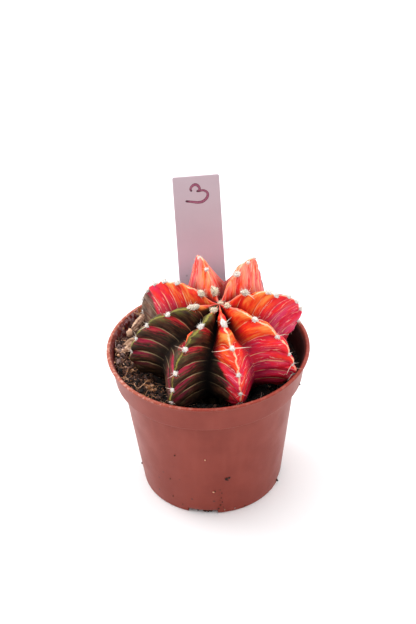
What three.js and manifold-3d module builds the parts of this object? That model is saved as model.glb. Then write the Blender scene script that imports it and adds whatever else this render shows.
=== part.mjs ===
// A potted moon cactus: an eight-ribbed plant on its own roots, in a thin plastic nursery pot of
// peaty soil, with a stake label pushed in behind it and a dried flower lying by the pot's wall.
// Millimetres, +Z up. The origin is the middle of the pot's underside, on the surface that it
// stands on, and the label stands at the back, towards +Y.

import * as THREE from 'three';
import { mergeVertices } from 'three/addons/utils/BufferGeometryUtils.js';
import Module from 'manifold-3d';

const wasm = await Module();
wasm.setup();

// Pot
const potHeight = 43.6;
const rimRadius = 27.5;
const rimDepth = 0.85;
const collarDepth = 8.4;
const collarTopRadius = 26.65;
const collarFootRadius = 25.6;
const bodyTopRadius = 23.75;
const baseRadius = 19.4;
const wall = 0.8;
const footHeight = 1.5;
const padRadius = 8;
const notch = { width: 8.3, height: 1.2, count: 4, turn: 260.6 };
const drain = { radius: 1.7, ring: 13.8, count: 8 };
const potSides = 48;

// Soil
const seat = 0.3; // gap between a piece and what it rests in
const soilLevel = 36.4;
const soilRise = { amount: 1.9, towards: 165 }; // heaped up against the left of the pot
const grainCount = 36;
const pebbles = [
  { x: -20.9, y: 10.9, radius: 1.35 },
  { x: -23.0, y: -0.6, radius: 1.15 },
  { x: -13.4, y: -7.4, radius: 0.9 },
  { x: -16.4, y: -11.6, radius: 1.7 },
  { x: -14.9, y: -13.2, radius: 1.3 },
];

// Plant
const plantCentre = new THREE.Vector3(3.4, 1.2, 0);
const plantLean = 0.055; // the crown is higher at the back by this much for each mm
const plantReach = 24.5;
const humpHeight = 1.0; // how far the crest stands out between two areoles
const swelling = 0.65; // how far a face swells between two furrows
const crestEdge = 0.5; // half the width of the rounded crest
const furrowArch = 1.7; // how far a furrow arches towards the crown in the middle of a face
const plantRows = 30;
const faceSteps = [0.06, 0.36, 0.7]; // columns of a face, from its crest to its valley

// Each rib: its direction near the crown and at its tip, in degrees, its reach, how far its
// outer part stands above the others, and where its areoles sit along the crest. The first rib
// is the one to the right, and the others follow anticlockwise seen from above.
const ribs = [
  { crown: 5, tip: 0, reach: 22.4, lift: 2.7, areoles: [7.9, 14.8, 18.2, 21.3, 24.2, 27.4, 31.4, 35.6] },
  { crown: 58, tip: 59, reach: 23.7, lift: 3.1, areoles: [10.1, 17.2, 20.8, 24.8, 28.4, 32.4, 36.4] },
  { crown: 106, tip: 106, reach: 22.6, lift: 4.2, areoles: [4.6, 12.3, 19.5, 24.3, 28.7, 32.6, 36.4] },
  { crown: 152, tip: 150.5, reach: 24.4, lift: 1.2, areoles: [5.4, 12.9, 17.2, 20.6, 24.4, 28.2, 32.8] },
  { crown: 206, tip: 194.5, reach: 24.8, lift: -0.6, areoles: [7.8, 14.7, 20.9, 25.7, 29.9, 33.5] },
  { crown: 248.5, tip: 241, reach: 27.2, lift: 0, areoles: [4, 11.5, 18.8, 25, 29.3, 32.8, 36.4] },
  { crown: 272, tip: 281, reach: 23.8, lift: -1.3, areoles: [10.8, 18.3, 25.3, 30.6, 34.3] },
  { crown: 314, tip: 326, reach: 22.4, lift: -2.2, areoles: [3.3, 13.1, 20.4, 26.2, 29.2, 32.4, 36] },
];

// Crest and valley in the upright plane of a rib: distance from the plant's axis, and height
// above the pot's rim. Both run from the crown, over the shoulder and down to the root.
const crestLine = new THREE.SplineCurve(
  [
    [0, 12.7],
    [2.5, 13.4],
    [7, 14.7],
    [12, 14.7],
    [16.5, 13.4],
    [20.2, 11.1],
    [22.9, 7.8],
    [24.3, 4],
    [24.4, 0.4],
    [22.6, -2.4],
    [19, -4.9],
    [13.5, -8.4],
    [9.8, -12.2],
    [7.4, -18],
  ].map(([r, z]) => new THREE.Vector2(r, z)),
);
const valleyLine = new THREE.SplineCurve(
  [
    [0, 12.7],
    [2.4, 12.0],
    [5.5, 10.7],
    [9, 9.5],
    [12.3, 8],
    [14.8, 5.4],
    [16.2, 1.8],
    [16, -1.8],
    [14.2, -5.2],
    [11.6, -8.6],
    [9.2, -12.4],
    [7, -18],
  ].map(([r, z]) => new THREE.Vector2(r, z)),
);
const crestLength = crestLine.getLength();
const rootDepth = 18;
const woolCrown = 1.2; // radius of an areole's wool near the crown, and near the soil
const woolLow = 0.72;
const areoleGap = 6; // distance to the furrow above a rib's first areole and below its last
const spine = { radius: 0.19, length: 4.6, sunk: 0.9 };

// Label
const label = {
  width: 13,
  thickness: 0.6,
  above: 34.8, // length that stands above the rim
  below: 35.2,
  point: 9, // length of the pointed lower end
  corner: 0.8,
  x: -0.7, // where its middle crosses the plane of the rim
  y: 23,
  back: 18, // leans backwards, in degrees
  left: 1.6, // leans to the left
  turn: 3.6, // turned about the upright
};

// Dried flower: the middle line of the shrivelled tube and its widths
const driedFlower = {
  line: [
    [-18.9, 15.2, 3.1],
    [-20.7, 12.3, 1.9],
    [-22.1, 8.9, 1.0],
    [-23.0, 5.6, 0.5],
    [-23.1, 2.6, 0.35],
  ],
  halfWidths: [0.5, 0.9, 1.3, 1.15, 0.5],
  halfThickness: 0.45,
  sides: 8,
};

const degree = Math.PI / 180;
const clamp = THREE.MathUtils.clamp;
const smooth = THREE.MathUtils.smoothstep;
const lerp = THREE.MathUtils.lerp;

// Repeatable random numbers from 0 to 1
function randomFrom(seed) {
  let state = seed;
  return () => {
    state = (state * 1664525 + 1013904223) % 4294967296;
    return state / 4294967296;
  };
}

// A closed geometry as a solid that can be joined and cut
function solidOf(geometry) {
  const bare = geometry.clone();
  bare.deleteAttribute('normal');
  bare.deleteAttribute('uv');
  const merged = mergeVertices(bare, 1e-4);
  const corners = merged.index.array;
  const triVerts = [];
  for (let i = 0; i < corners.length; i += 3) {
    const [a, b, c] = corners.slice(i, i + 3);
    if (a !== b && b !== c && c !== a) triVerts.push(a, b, c);
  }
  return new wasm.Manifold(
    new wasm.Mesh({
      numProp: 3,
      vertProperties: merged.attributes.position.array,
      triVerts: new Uint32Array(triVerts),
    }),
  );
}

// The largest body of a solid, so that no loose crumb is left
function mainBody(solid) {
  const bodies = solid.decompose();
  return bodies.reduce((best, body) => (body.volume() > best.volume() ? body : best));
}

function meshOf(name, solid, look) {
  const { numProp, vertProperties, triVerts } = solid.getMesh();
  const position = new Float32Array((vertProperties.length / numProp) * 3);
  for (let i = 0; i < position.length / 3; i++) {
    position.set(vertProperties.subarray(i * numProp, i * numProp + 3), i * 3);
  }
  const geometry = new THREE.BufferGeometry();
  geometry.setAttribute('position', new THREE.BufferAttribute(position, 3));
  geometry.setIndex(new THREE.BufferAttribute(triVerts, 1));
  geometry.computeVertexNormals();
  const mesh = new THREE.Mesh(geometry, new THREE.MeshStandardMaterial(look));
  mesh.name = name;
  return mesh;
}

// A body of revolution about Z from a profile of [radius, height] that starts and ends on the axis
function turned(profile, sides) {
  const points = profile.map(([r, z]) => new THREE.Vector2(r, z));
  return solidOf(new THREE.LatheGeometry(points, sides).rotateX(Math.PI / 2));
}

// A closed skin through rings of points, each ring counted anticlockwise seen from above, from
// the first pole to the last; the first pole is the lower or inner end.
function skinOf(firstPole, rings, lastPole) {
  const columns = rings[0].length;
  const points = [firstPole, ...rings.flat(), lastPole];
  const index = [];
  const at = (row, column) => 1 + row * columns + (column % columns);
  for (let c = 0; c < columns; c++) {
    index.push(0, at(0, c + 1), at(0, c));
    for (let r = 0; r + 1 < rings.length; r++) {
      index.push(at(r, c), at(r, c + 1), at(r + 1, c + 1));
      index.push(at(r, c), at(r + 1, c + 1), at(r + 1, c));
    }
    index.push(points.length - 1, at(rings.length - 1, c), at(rings.length - 1, c + 1));
  }
  const geometry = new THREE.BufferGeometry().setFromPoints(points);
  geometry.setIndex(index);
  return solidOf(geometry);
}

// Pot: outside from the pad on the table up to the rim, then the inside down to the floor
const collarFoot = potHeight - collarDepth;
const ledge = collarFoot + wall;

function potOutside() {
  return [
    [0, 0],
    [padRadius, 0],
    [padRadius + 0.9, footHeight],
    [baseRadius - 0.9, footHeight],
    [baseRadius - 0.9, 0],
    [baseRadius - 0.2, 0],
    [baseRadius, 0.25],
    [bodyTopRadius, collarFoot - 0.1],
    [collarFootRadius - 0.15, collarFoot],
    [collarFootRadius, collarFoot + 0.2],
    [collarTopRadius, potHeight - rimDepth],
    [rimRadius - 0.2, potHeight - rimDepth + 0.05],
    [rimRadius, potHeight - rimDepth + 0.25],
    [rimRadius, potHeight - 0.25],
    [rimRadius - 0.25, potHeight],
  ];
}

// Inside of the pot, from the rim down to the middle of the floor, set in by a gap
function potInside(gap) {
  return [
    [collarTopRadius + 0.1 - gap, potHeight],
    [collarTopRadius - 0.15 - gap, potHeight - 0.2],
    [collarTopRadius - wall - gap, potHeight - 1.2],
    [collarFootRadius - wall - gap, ledge + 0.3 + gap],
    [collarFootRadius - wall - 0.3 - gap, ledge + gap],
    [bodyTopRadius - wall - gap, ledge + gap],
    [baseRadius - wall - gap, footHeight + wall + 0.4 + gap],
    [baseRadius - wall - 0.4 - gap, footHeight + wall + gap],
    [padRadius + 1.3 - gap, footHeight + wall + gap],
    [padRadius + 0.3 - gap, wall + gap],
    [0, wall + gap],
  ];
}

function makePot() {
  let pot = turned([...potOutside(), ...potInside(0)], potSides);
  for (let i = 0; i < notch.count; i++) {
    const opening = new THREE.BoxGeometry(4, notch.width, notch.height * 2);
    opening.translate(baseRadius, 0, 0);
    opening.rotateZ((notch.turn + (360 / notch.count) * i) * degree);
    pot = pot.subtract(solidOf(opening));
  }
  for (let i = 0; i < drain.count; i++) {
    const hole = new THREE.CylinderGeometry(drain.radius, drain.radius, 3, 12);
    hole.rotateX(Math.PI / 2);
    hole.translate(drain.ring, 0, footHeight + wall / 2);
    hole.rotateZ(((i + 0.5) / drain.count) * 2 * Math.PI);
    pot = pot.subtract(solidOf(hole));
  }
  return pot;
}

// Soil: height of its surface, with slow lumps on a slope
function soilTop(x, y) {
  const way = soilRise.towards * degree;
  const slope = (soilRise.amount * (x * Math.cos(way) + y * Math.sin(way))) / 24;
  const lumps = 0.32 * Math.sin(0.62 * x + 1.3) * Math.cos(0.55 * y - 0.4);
  const crumbs = 0.2 * Math.sin(1.45 * x - 0.8 * y) * Math.cos(1.2 * y + 0.9 * x);
  return soilLevel + slope + lumps + crumbs;
}

// How far inwards the pot's wall stands at a height, inside
function wallRadius(z) {
  const lower = lerp(baseRadius, bodyTopRadius, clamp(z / collarFoot, 0, 1)) - wall;
  const rise = clamp((z - ledge) / (potHeight - ledge), 0, 1);
  return z < ledge ? lower : lerp(collarFootRadius, collarTopRadius, rise) - wall;
}

function soilBlank() {
  const spokes = 36;
  const radii = [27, 23.5, 21.5, 19, 16, 9];
  const ringAt = (radius, height) => {
    const ring = [];
    for (let i = 0; i < spokes; i++) {
      const way = (i / spokes) * 2 * Math.PI;
      const x = radius * Math.cos(way);
      const y = radius * Math.sin(way);
      ring.push(new THREE.Vector3(x, y, height ?? soilTop(x, y)));
    }
    return ring;
  };
  const rings = [ringAt(27, -1), ...radii.map((radius) => ringAt(radius))];
  return skinOf(new THREE.Vector3(0, 0, -1), rings, new THREE.Vector3(0, 0, soilTop(0, 0)));
}

// An angular grain, squashed and turned at random, sunk in the soil by half; a pebble is rounder
function grain(x, y, radius, random) {
  const Shape = radius > 0.85 ? THREE.IcosahedronGeometry : THREE.OctahedronGeometry;
  const shape = new Shape(radius, 0);
  shape.scale(0.8 + 0.4 * random(), 0.8 + 0.4 * random(), 0.7 + 0.2 * random());
  shape.rotateX(random() * 3);
  shape.rotateZ(random() * 3);
  shape.translate(x, y, soilTop(x, y) + radius * 0.15);
  return solidOf(shape);
}

// Where the dried flower lies, no grain stands up
function underFlower(x, y) {
  return driedFlower.line.some(([fx, fy]) => Math.hypot(x - fx, y - fy) < 2.6);
}

function makeSoil() {
  const random = randomFrom(11);
  let soil = soilBlank();
  for (const pebble of pebbles) {
    soil = soil.add(grain(pebble.x, pebble.y, pebble.radius, random));
  }
  for (let i = 0; i < grainCount; i++) {
    const way = random() * 2 * Math.PI;
    const reach = 14 + 9.6 * Math.sqrt(random());
    const x = reach * Math.cos(way);
    const y = reach * Math.sin(way);
    const size = 0.5 + 0.5 * random() ** 2;
    if (!underFlower(x, y)) soil = soil.add(grain(x, y, size, random));
  }
  const cavity = turned([...potInside(seat).reverse(), [0, potHeight]], 48);
  return mainBody(soil.intersect(cavity).subtract(rootHole()).subtract(labelBody(seat)));
}

// The hollow that the plant sits in: a turned shape just outside every rib
function rootHole() {
  const steps = 16;
  const start = 0.62; // share of the crest's length where the underside begins
  const profile = [[0, potHeight - rootDepth - 1.9]];
  for (let i = 0; i <= steps; i++) {
    const { x: r, y: z } = crestLine.getPointAt(lerp(1, start, i / steps));
    const clear = r * 1.04 + 2 * seat;
    profile.push([clear, potHeight + z - plantLean * r - 3 * seat]);
  }
  profile.push([profile.at(-1)[0], potHeight + 3]);
  profile.push([0, potHeight + 3]);
  return turned(profile, 40).translate([plantCentre.x, plantCentre.y, 0]);
}

// Plant: how much of the rib's own reach, lift and lean counts, fading out towards the root
function formWeight(s) {
  return 1 - smooth(s, 0.68, 0.86);
}

// Where a point lies between two areoles, from 0 at one to 1 at the next one down
function phaseAt(rib, along) {
  const below = rib.areoles.findIndex((place) => place > along);
  const from = below < 0 ? rib.areoles.at(-1) : rib.areoles[below - 1] ?? rib.areoles[0] - areoleGap;
  const to = below < 0 ? from + areoleGap : rib.areoles[below];
  return clamp((along - from) / (to - from), 0, 1);
}

function reliefWeight(s) {
  return smooth(s, 0.03, 0.13) * (1 - smooth(s, 0.66, 0.78));
}

// A rounded swell between two furrows, fuller on its lower side
function swellAt(phase) {
  return Math.sin(Math.PI * phase ** 1.15) ** 0.8;
}

function directionOf(rib, s) {
  return lerp(rib.crown, rib.tip, smooth(s, 0.05, 0.4)) * degree;
}

function placed(radius, height, direction, lift, s) {
  const point = new THREE.Vector3(radius * Math.cos(direction), radius * Math.sin(direction), 0);
  const raised = lift * smooth(s, 0.05, 0.4) * (1 - smooth(s, 0.5, 0.72));
  point.z = potHeight + height + formWeight(s) * plantLean * point.y + raised;
  return point.add(plantCentre);
}

function crestPoint(rib, s) {
  const line = crestLine.getPointAt(s);
  const tangent = crestLine.getTangentAt(s);
  const stretch = lerp(1, rib.reach / plantReach, formWeight(s));
  const phase = phaseAt(rib, s * crestLength);
  const hump = humpHeight * reliefWeight(s) * (swellAt(phase) - 0.45);
  const radius = line.x * stretch - hump * tangent.y;
  const height = line.y + hump * tangent.x;
  return placed(radius, height, directionOf(rib, s), rib.lift, s);
}

function valleyPoint(rib, next, s) {
  const line = valleyLine.getPointAt(s);
  const reach = (rib.reach + next.reach) / 2;
  const stretch = lerp(1, reach / plantReach, formWeight(s));
  const wrap = next.crown < rib.crown ? 2 * Math.PI : 0;
  const direction = (directionOf(rib, s) + directionOf(next, s) + wrap) / 2;
  return placed(line.x * stretch, line.y, direction, (rib.lift + next.lift) / 2, s);
}

// The crest's rounding across a face: a quarter circle that then fades out towards the valley
function crestRound(t) {
  const edge = faceSteps[0];
  return t < edge ? Math.sqrt(1 - (1 - t / edge) ** 2) : 1 - smooth(t, edge, 0.8);
}

// A point of a rib's face: a straight run from crest to valley, rounded at the crest, swollen
// between the furrows that arch across it. side is 1 for the face towards the next rib.
function facePoint(rib, valley, side, t, s) {
  const crest = crestPoint(rib, s);
  const across = valley.clone().sub(crest);
  const along = crestPoint(rib, Math.min(s + 0.01, 1)).sub(crestPoint(rib, Math.max(s - 0.01, 0)));
  const outward = along.clone().cross(across).normalize().multiplyScalar(side);
  const size = Math.min(1, across.length() / 7);
  const arch = furrowArch * (4 * t * (1 - t)) ** 0.8;
  const phase = phaseAt(rib, s * crestLength + arch);
  const swell = swelling * reliefWeight(s) * (swellAt(phase) - 0.45) * Math.sin(Math.PI * t ** 0.8);
  const offset = size * (crestEdge * crestRound(t) + swell);
  return crest.add(across.multiplyScalar(t)).addScaledVector(outward, offset);
}

function plantRing(s) {
  const ring = [];
  ribs.forEach((rib, k) => {
    const next = ribs[(k + 1) % ribs.length];
    const previous = ribs[(k + ribs.length - 1) % ribs.length];
    const before = valleyPoint(previous, rib, s);
    const after = valleyPoint(rib, next, s);
    for (const t of [...faceSteps].reverse()) ring.push(facePoint(rib, before, -1, t, s));
    ring.push(crestPoint(rib, s));
    for (const t of faceSteps) ring.push(facePoint(rib, after, 1, t, s));
    ring.push(after);
  });
  return ring;
}

function plantBody() {
  const rings = [];
  for (let i = plantRows; i >= 1; i--) rings.push(plantRing(i / plantRows));
  const crown = new THREE.Vector3(0, 0, potHeight + crestLine.points[0].y).add(plantCentre);
  const root = new THREE.Vector3(0, 0, potHeight - rootDepth - 1.4).add(plantCentre);
  return skinOf(root, rings, crown);
}

// A place on a crest with the directions that an areole and its spines need
function areoleFrame(rib, along) {
  const s = along / crestLength;
  const place = crestPoint(rib, s);
  const down = crestPoint(rib, s + 0.012).sub(crestPoint(rib, s - 0.012)).normalize();
  const way = directionOf(rib, s);
  const sideways = new THREE.Vector3(-Math.sin(way), Math.cos(way), 0);
  const outward = sideways.clone().cross(down).negate().normalize();
  return { place, down, sideways, outward };
}

function wool(frame, radius) {
  const tuft = new THREE.SphereGeometry(radius, 6, 3);
  tuft.rotateX(Math.PI / 2);
  tuft.scale(1, 1.1, 0.75);
  const turn = new THREE.Matrix4().makeBasis(frame.sideways, frame.down.clone().negate(), frame.outward);
  tuft.applyMatrix4(turn.setPosition(frame.place.clone().addScaledVector(frame.outward, 0.1)));
  return solidOf(tuft);
}

// A spine's point, moved clear of the pot's rim and wall, the soil and the label
function keptClear(point) {
  const radius = Math.hypot(point.x, point.y);
  const lowest = soilTop(point.x, point.y) + 1.6;
  if (point.z < potHeight + 0.7) {
    const most = Math.min(1, (wallRadius(point.z) - 1.0) / radius);
    point.x *= most;
    point.y *= most;
    point.z = Math.max(point.z, lowest);
  }
  const labelFront = label.y - 1.2 + (point.z - potHeight) * Math.tan(label.back * degree);
  if (Math.abs(point.x - label.x) < label.width / 2 + 1.5) point.y = Math.min(point.y, labelFront);
  return point;
}

// A three-sided needle from a root sunk in the rib, thickest where it leaves the wool
function needle(root, start, way, length) {
  const neck = start.clone().addScaledVector(way, length * 0.12);
  const sideA = new THREE.Vector3(0.31, 0.22, 0.92).cross(way).normalize();
  const sideB = way.clone().cross(sideA);
  const ring = [0, 1, 2].map((i) => {
    const angle = (i / 3) * 2 * Math.PI;
    const point = neck.clone().addScaledVector(sideA, spine.radius * Math.cos(angle));
    return point.addScaledVector(sideB, spine.radius * Math.sin(angle));
  });
  return skinOf(root, [ring], keptClear(start.clone().addScaledVector(way, length)));
}

// Spines of an areole: one to each side and one pointing down the rib
function spinesOf(frame, share, random) {
  const spines = [];
  const ways = [
    [1, 0.15],
    [-1, 0.15],
    [0.15, 1],
  ];
  for (const [across, down] of ways) {
    const way = frame.outward.clone().multiplyScalar(0.55 + 0.3 * random());
    way.addScaledVector(frame.sideways, across * (0.8 + 0.3 * random()));
    way.addScaledVector(frame.down, down + 0.3 * (random() - 0.5)).normalize();
    const length = spine.length * lerp(0.55, 1, share) * (0.8 + 0.4 * random());
    const root = frame.place.clone().addScaledVector(frame.outward, -spine.sunk);
    root.addScaledVector(frame.sideways, across * 0.1).addScaledVector(frame.down, down * 0.3);
    spines.push(needle(root, frame.place, way, length));
  }
  return spines;
}

function makePlant() {
  const random = randomFrom(5);
  const pieces = [plantBody()];
  for (const rib of ribs) {
    for (const along of rib.areoles) {
      const share = clamp(along / 20, 0, 1);
      const frame = areoleFrame(rib, along);
      pieces.push(wool(frame, lerp(woolCrown, woolLow, share)));
      pieces.push(...spinesOf(frame, share, random));
    }
  }
  const crown = areoleFrame(ribs[0], 0.8);
  crown.place.copy(plantCentre).setZ(potHeight + crestLine.points[0].y + 0.4);
  pieces.push(wool(crown, woolCrown * 1.1));
  return mainBody(pieces.reduce((whole, piece) => whole.add(piece)));
}

// Label: a flat strip with a pointed lower end, grown by a margin where it cuts its own slot
function labelBody(margin) {
  const half = label.width / 2 + margin;
  const top = label.above + margin;
  const tip = -label.below - 2 * margin;
  const outline = new THREE.Shape();
  outline.moveTo(0, tip);
  outline.lineTo(half, tip + label.point);
  outline.lineTo(half, top - label.corner);
  outline.quadraticCurveTo(half, top, half - label.corner, top);
  outline.lineTo(label.corner - half, top);
  outline.quadraticCurveTo(-half, top, -half, top - label.corner);
  outline.lineTo(-half, tip + label.point);
  const depth = label.thickness + 2 * margin;
  const strip = new THREE.ExtrudeGeometry(outline, { depth, bevelEnabled: false, curveSegments: 3 });
  strip.translate(0, 0, -depth / 2);
  strip.rotateX(Math.PI / 2);
  strip.rotateZ(label.turn * degree);
  strip.rotateY(-label.left * degree);
  strip.rotateX(-label.back * degree);
  strip.translate(label.x, label.y, potHeight);
  return solidOf(strip);
}

// Dried flower: a flattened, slightly twisted tube that tapers to both ends
function makeDriedFlower() {
  const middle = new THREE.CatmullRomCurve3(
    driedFlower.line.map(([x, y, rise]) => {
      const height = soilTop(x, y) + seat + driedFlower.halfThickness + rise;
      return new THREE.Vector3(x, y, height);
    }),
  );
  const stations = driedFlower.halfWidths.length;
  const rings = driedFlower.halfWidths.map((halfWidth, i) => {
    const u = i / (stations - 1);
    const centre = middle.getPoint(u);
    const along = middle.getTangent(u);
    const upright = new THREE.Vector3(0.5, -0.2, 1).normalize();
    const across = along.clone().cross(upright).normalize();
    const thick = across.clone().cross(along).normalize();
    const ring = [];
    for (let j = 0; j < driedFlower.sides; j++) {
      const angle = (j / driedFlower.sides) * 2 * Math.PI;
      const point = centre.clone().addScaledVector(across, halfWidth * Math.cos(angle));
      point.addScaledVector(thick, -driedFlower.halfThickness * Math.sin(angle));
      ring.push(point);
    }
    return ring;
  });
  const end = (u, step) => middle.getPoint(u).addScaledVector(middle.getTangent(u), step);
  return skinOf(end(0, -0.8), rings, end(1, 0.8));
}

const looks = {
  pot: { color: 0xa85a4b, roughness: 0.45, metalness: 0 },
  soil: { color: 0x3a2a22, roughness: 0.95, metalness: 0 },
  cactus: { color: 0xd8452f, roughness: 0.5, metalness: 0 },
  label: { color: 0xc4a8b2, roughness: 0.4, metalness: 0 },
  dried_flower: { color: 0xc8a582, roughness: 0.9, metalness: 0 },
};

const group = new THREE.Group();
group.add(meshOf('pot', makePot(), looks.pot));
group.add(meshOf('soil', makeSoil(), looks.soil));
group.add(meshOf('cactus', makePlant(), looks.cactus));
group.add(meshOf('label', labelBody(0), looks.label));
group.add(meshOf('dried_flower', makeDriedFlower(), looks.dried_flower));

export default group;
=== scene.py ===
import itertools

import bpy
import numpy as np
from mathutils import Matrix


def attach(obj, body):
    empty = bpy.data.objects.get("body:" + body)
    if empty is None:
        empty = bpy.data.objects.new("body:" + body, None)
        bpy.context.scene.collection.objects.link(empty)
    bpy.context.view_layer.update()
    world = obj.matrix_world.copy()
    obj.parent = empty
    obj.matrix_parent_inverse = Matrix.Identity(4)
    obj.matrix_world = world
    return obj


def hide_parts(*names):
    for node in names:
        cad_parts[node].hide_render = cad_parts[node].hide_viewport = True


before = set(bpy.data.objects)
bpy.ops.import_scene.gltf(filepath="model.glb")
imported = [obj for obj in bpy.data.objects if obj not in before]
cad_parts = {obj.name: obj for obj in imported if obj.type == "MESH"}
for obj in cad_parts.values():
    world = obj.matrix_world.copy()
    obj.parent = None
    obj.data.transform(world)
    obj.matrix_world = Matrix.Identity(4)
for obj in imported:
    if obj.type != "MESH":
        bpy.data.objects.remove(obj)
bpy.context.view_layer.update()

# Potted moon cactus: thin plastic pot, peaty soil, ribbed plant, stake label and a dried flower.
# Sizes below are millimetres and degrees, colours are screen values from 0 to 255.
mm = 0.001
potHeight = 43.6


def smooth(value, low, high):
    # 0 below low, 1 above high, with an S-shaped rise between them
    share = np.clip((value - low) / (high - low), 0, 1)
    return share * share * (3 - 2 * share)


def between(first, second, share):
    # Straight from the first value to the second as the share goes from 0 to 1
    return first + (second - first) * share


def triple(x, y, z):
    # Rows of three, from arrays and numbers that fit together
    return np.stack(np.broadcast_arrays(x, y, z), -1)


def onRing(radius, way, height=0.0):
    # Points at a distance from the upright axis, in a direction in radians, and at a height
    return triple(radius * np.cos(way), radius * np.sin(way), height)


def unit(vectors):
    # The same directions, one long
    return vectors / np.maximum(np.linalg.norm(vectors, axis=-1, keepdims=True), 1e-9)


def turned(axis, angle):
    # Matrix that turns about X (0), Y (1) or Z (2) by an angle in degrees
    return np.array(Matrix.Rotation(np.radians(angle), 3, "XYZ"[axis]))


def hashOf(cell, seed):
    # A repeatable number from 0 to 1 for each whole-numbered cell
    number = cell[..., 0] * 73856093 ^ cell[..., 1] * 19349663 ^ cell[..., 2] * 83492791 ^ seed * 6971
    number = (number ^ (number >> 13)) * 1274126177
    return ((number ^ (number >> 16)) & 65535) / 65535


def softNoise(places, size, seed=0):
    # Numbers from -1 to 1 at the corners of cells of that size, blended smoothly between them
    scaled = np.asarray(places, float) / size
    cell = np.floor(scaled).astype(np.int64)
    share = smooth(scaled - cell, 0, 1)
    total = np.zeros(scaled.shape[:-1])
    for corner in itertools.product((0, 1), repeat=3):
        weight = np.prod(np.where(corner, share, 1 - share), axis=-1)
        total += weight * hashOf(cell + np.array(corner), seed)
    return 2 * total - 1


def lineThrough(points, steps=3000):
    # Catmull-Rom curve through the points: a table of the share of its length and the place there
    points = np.asarray(points, float)
    last = len(points) - 1
    place = np.linspace(0, last, steps)
    first = np.minimum(place.astype(int), last - 1)
    w = (place - first)[:, None]
    p0, p1, p2, p3 = (points[np.clip(first + k, 0, last)] for k in (-1, 0, 1, 2))
    v0 = (p2 - p0) / 2
    v1 = (p3 - p1) / 2
    curve = (2 * p1 - 2 * p2 + v0 + v1) * w**3 + (3 * p2 - 3 * p1 - 2 * v0 - v1) * w**2 + v0 * w + p1
    run = np.append(0, np.cumsum(np.linalg.norm(np.diff(curve, axis=0), axis=1)))
    return {"share": run / run[-1], "place": curve, "length": run[-1]}


def pointAt(line, share):
    # Places at shares of a line's length
    return np.stack([np.interp(share, line["share"], part) for part in line["place"].T], -1)


def tangentAt(line, share):
    # Directions at shares of its length, from the place just behind to the one just ahead
    step = 0.002
    ahead = pointAt(line, np.clip(share + step, 0, 1))
    return unit(ahead - pointAt(line, np.clip(share - step, 0, 1)))


def makePiece(name, points, faces, material, standsFor=(), fields=None, sharp=None):
    # A closed mesh from millimetre points and blocks of equal-sided faces, riding on the pot's body.
    # Fields hold three numbers, or one, for each point or for each corner of each face.
    loops = np.concatenate([block.ravel() for block in faces]).astype(np.int32)
    sizes = np.concatenate([np.full(len(block), block.shape[1]) for block in faces])
    mesh = bpy.data.meshes.new(name)
    mesh.vertices.add(len(points))
    mesh.vertices.foreach_set("co", (np.asarray(points) * mm).astype(np.float32).ravel())
    mesh.loops.add(len(loops))
    mesh.loops.foreach_set("vertex_index", loops)
    mesh.polygons.add(len(sizes))
    mesh.polygons.foreach_set("loop_start", np.append(0, np.cumsum(sizes)[:-1]).astype(np.int32))
    mesh.update(calc_edges=True)
    for label, values in (fields or {}).items():
        if values.ndim == 1:
            values = triple(values, 0, 0)
        domain = "POINT" if len(values) == len(points) else "CORNER"
        mesh.attributes.new(label, "FLOAT_VECTOR", domain)
        mesh.attributes[label].data.foreach_set("vector", values.astype(np.float32).ravel())
    mesh.shade_smooth()
    if sharp:
        mesh.set_sharp_from_angle(angle=np.radians(sharp))
    mesh.materials.append(material)
    piece = bpy.data.objects.new(name, mesh)
    bpy.context.scene.collection.objects.link(piece)
    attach(piece, "root")
    if standsFor:
        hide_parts(*standsFor)
    print(name, len(points), "points,", int(np.sum(sizes - 2)), "triangles")


def gridFaces(rows, columns):
    # Quads of a grid that closes on itself across its columns; rows run to the left of the columns
    index = np.arange(rows * columns).reshape(rows, columns)
    beside = np.roll(index, -1, axis=1)
    return np.stack([index[:-1], index[1:], beside[1:], beside[:-1]], -1).reshape(-1, 4)


def closedGrid(rows, columns):
    # The same grid, with its first and last rows closed by fans on two pole points that follow it
    ring = np.arange(columns)
    last = ring + (rows - 1) * columns
    pole = np.full(columns, rows * columns)
    first = np.stack([pole, ring, np.roll(ring, -1)], -1)
    second = np.stack([pole + 1, np.roll(last, -1), last], -1)
    return [gridFaces(rows, columns), np.vstack([first, second])]


def lathe(profile, angles):
    # Carries a profile of radius and height round the upright axis; its two ends lie on the axis
    radius, height = profile[1:-1].T[..., None]
    poles = [[0, 0, profile[0, 1]], [0, 0, profile[-1, 1]]]
    points = np.vstack([onRing(radius, angles, height).reshape(-1, 3), poles])
    return points, [block[:, ::-1] for block in closedGrid(len(radius), len(angles))]


def rounded(corners, radius, longest):
    # A profile whose corners become short curves, and whose long runs are cut into equal steps
    corners = np.asarray(corners, float)
    out = [corners[:1]]
    share = np.linspace(0, 1, 5)[:, None]
    mostOfRun = 0.42
    for before, corner, after in zip(corners, corners[1:], corners[2:]):
        shorter = min(np.linalg.norm(before - corner), np.linalg.norm(after - corner))
        reach = min(radius, mostOfRun * shorter)
        start = corner + reach * unit(before - corner)
        end = corner + reach * unit(after - corner)
        out.append((1 - share) ** 2 * start + 2 * share * (1 - share) * corner + share**2 * end)
    points = np.vstack(out + [corners[-1:]])
    runs = []
    for start, end in zip(points, points[1:]):
        count = max(1, int(np.ceil(np.linalg.norm(end - start) / longest)))
        runs.append(start + (end - start) * (np.arange(count) / count)[:, None])
    return np.vstack(runs + [points[-1:]])


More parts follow.
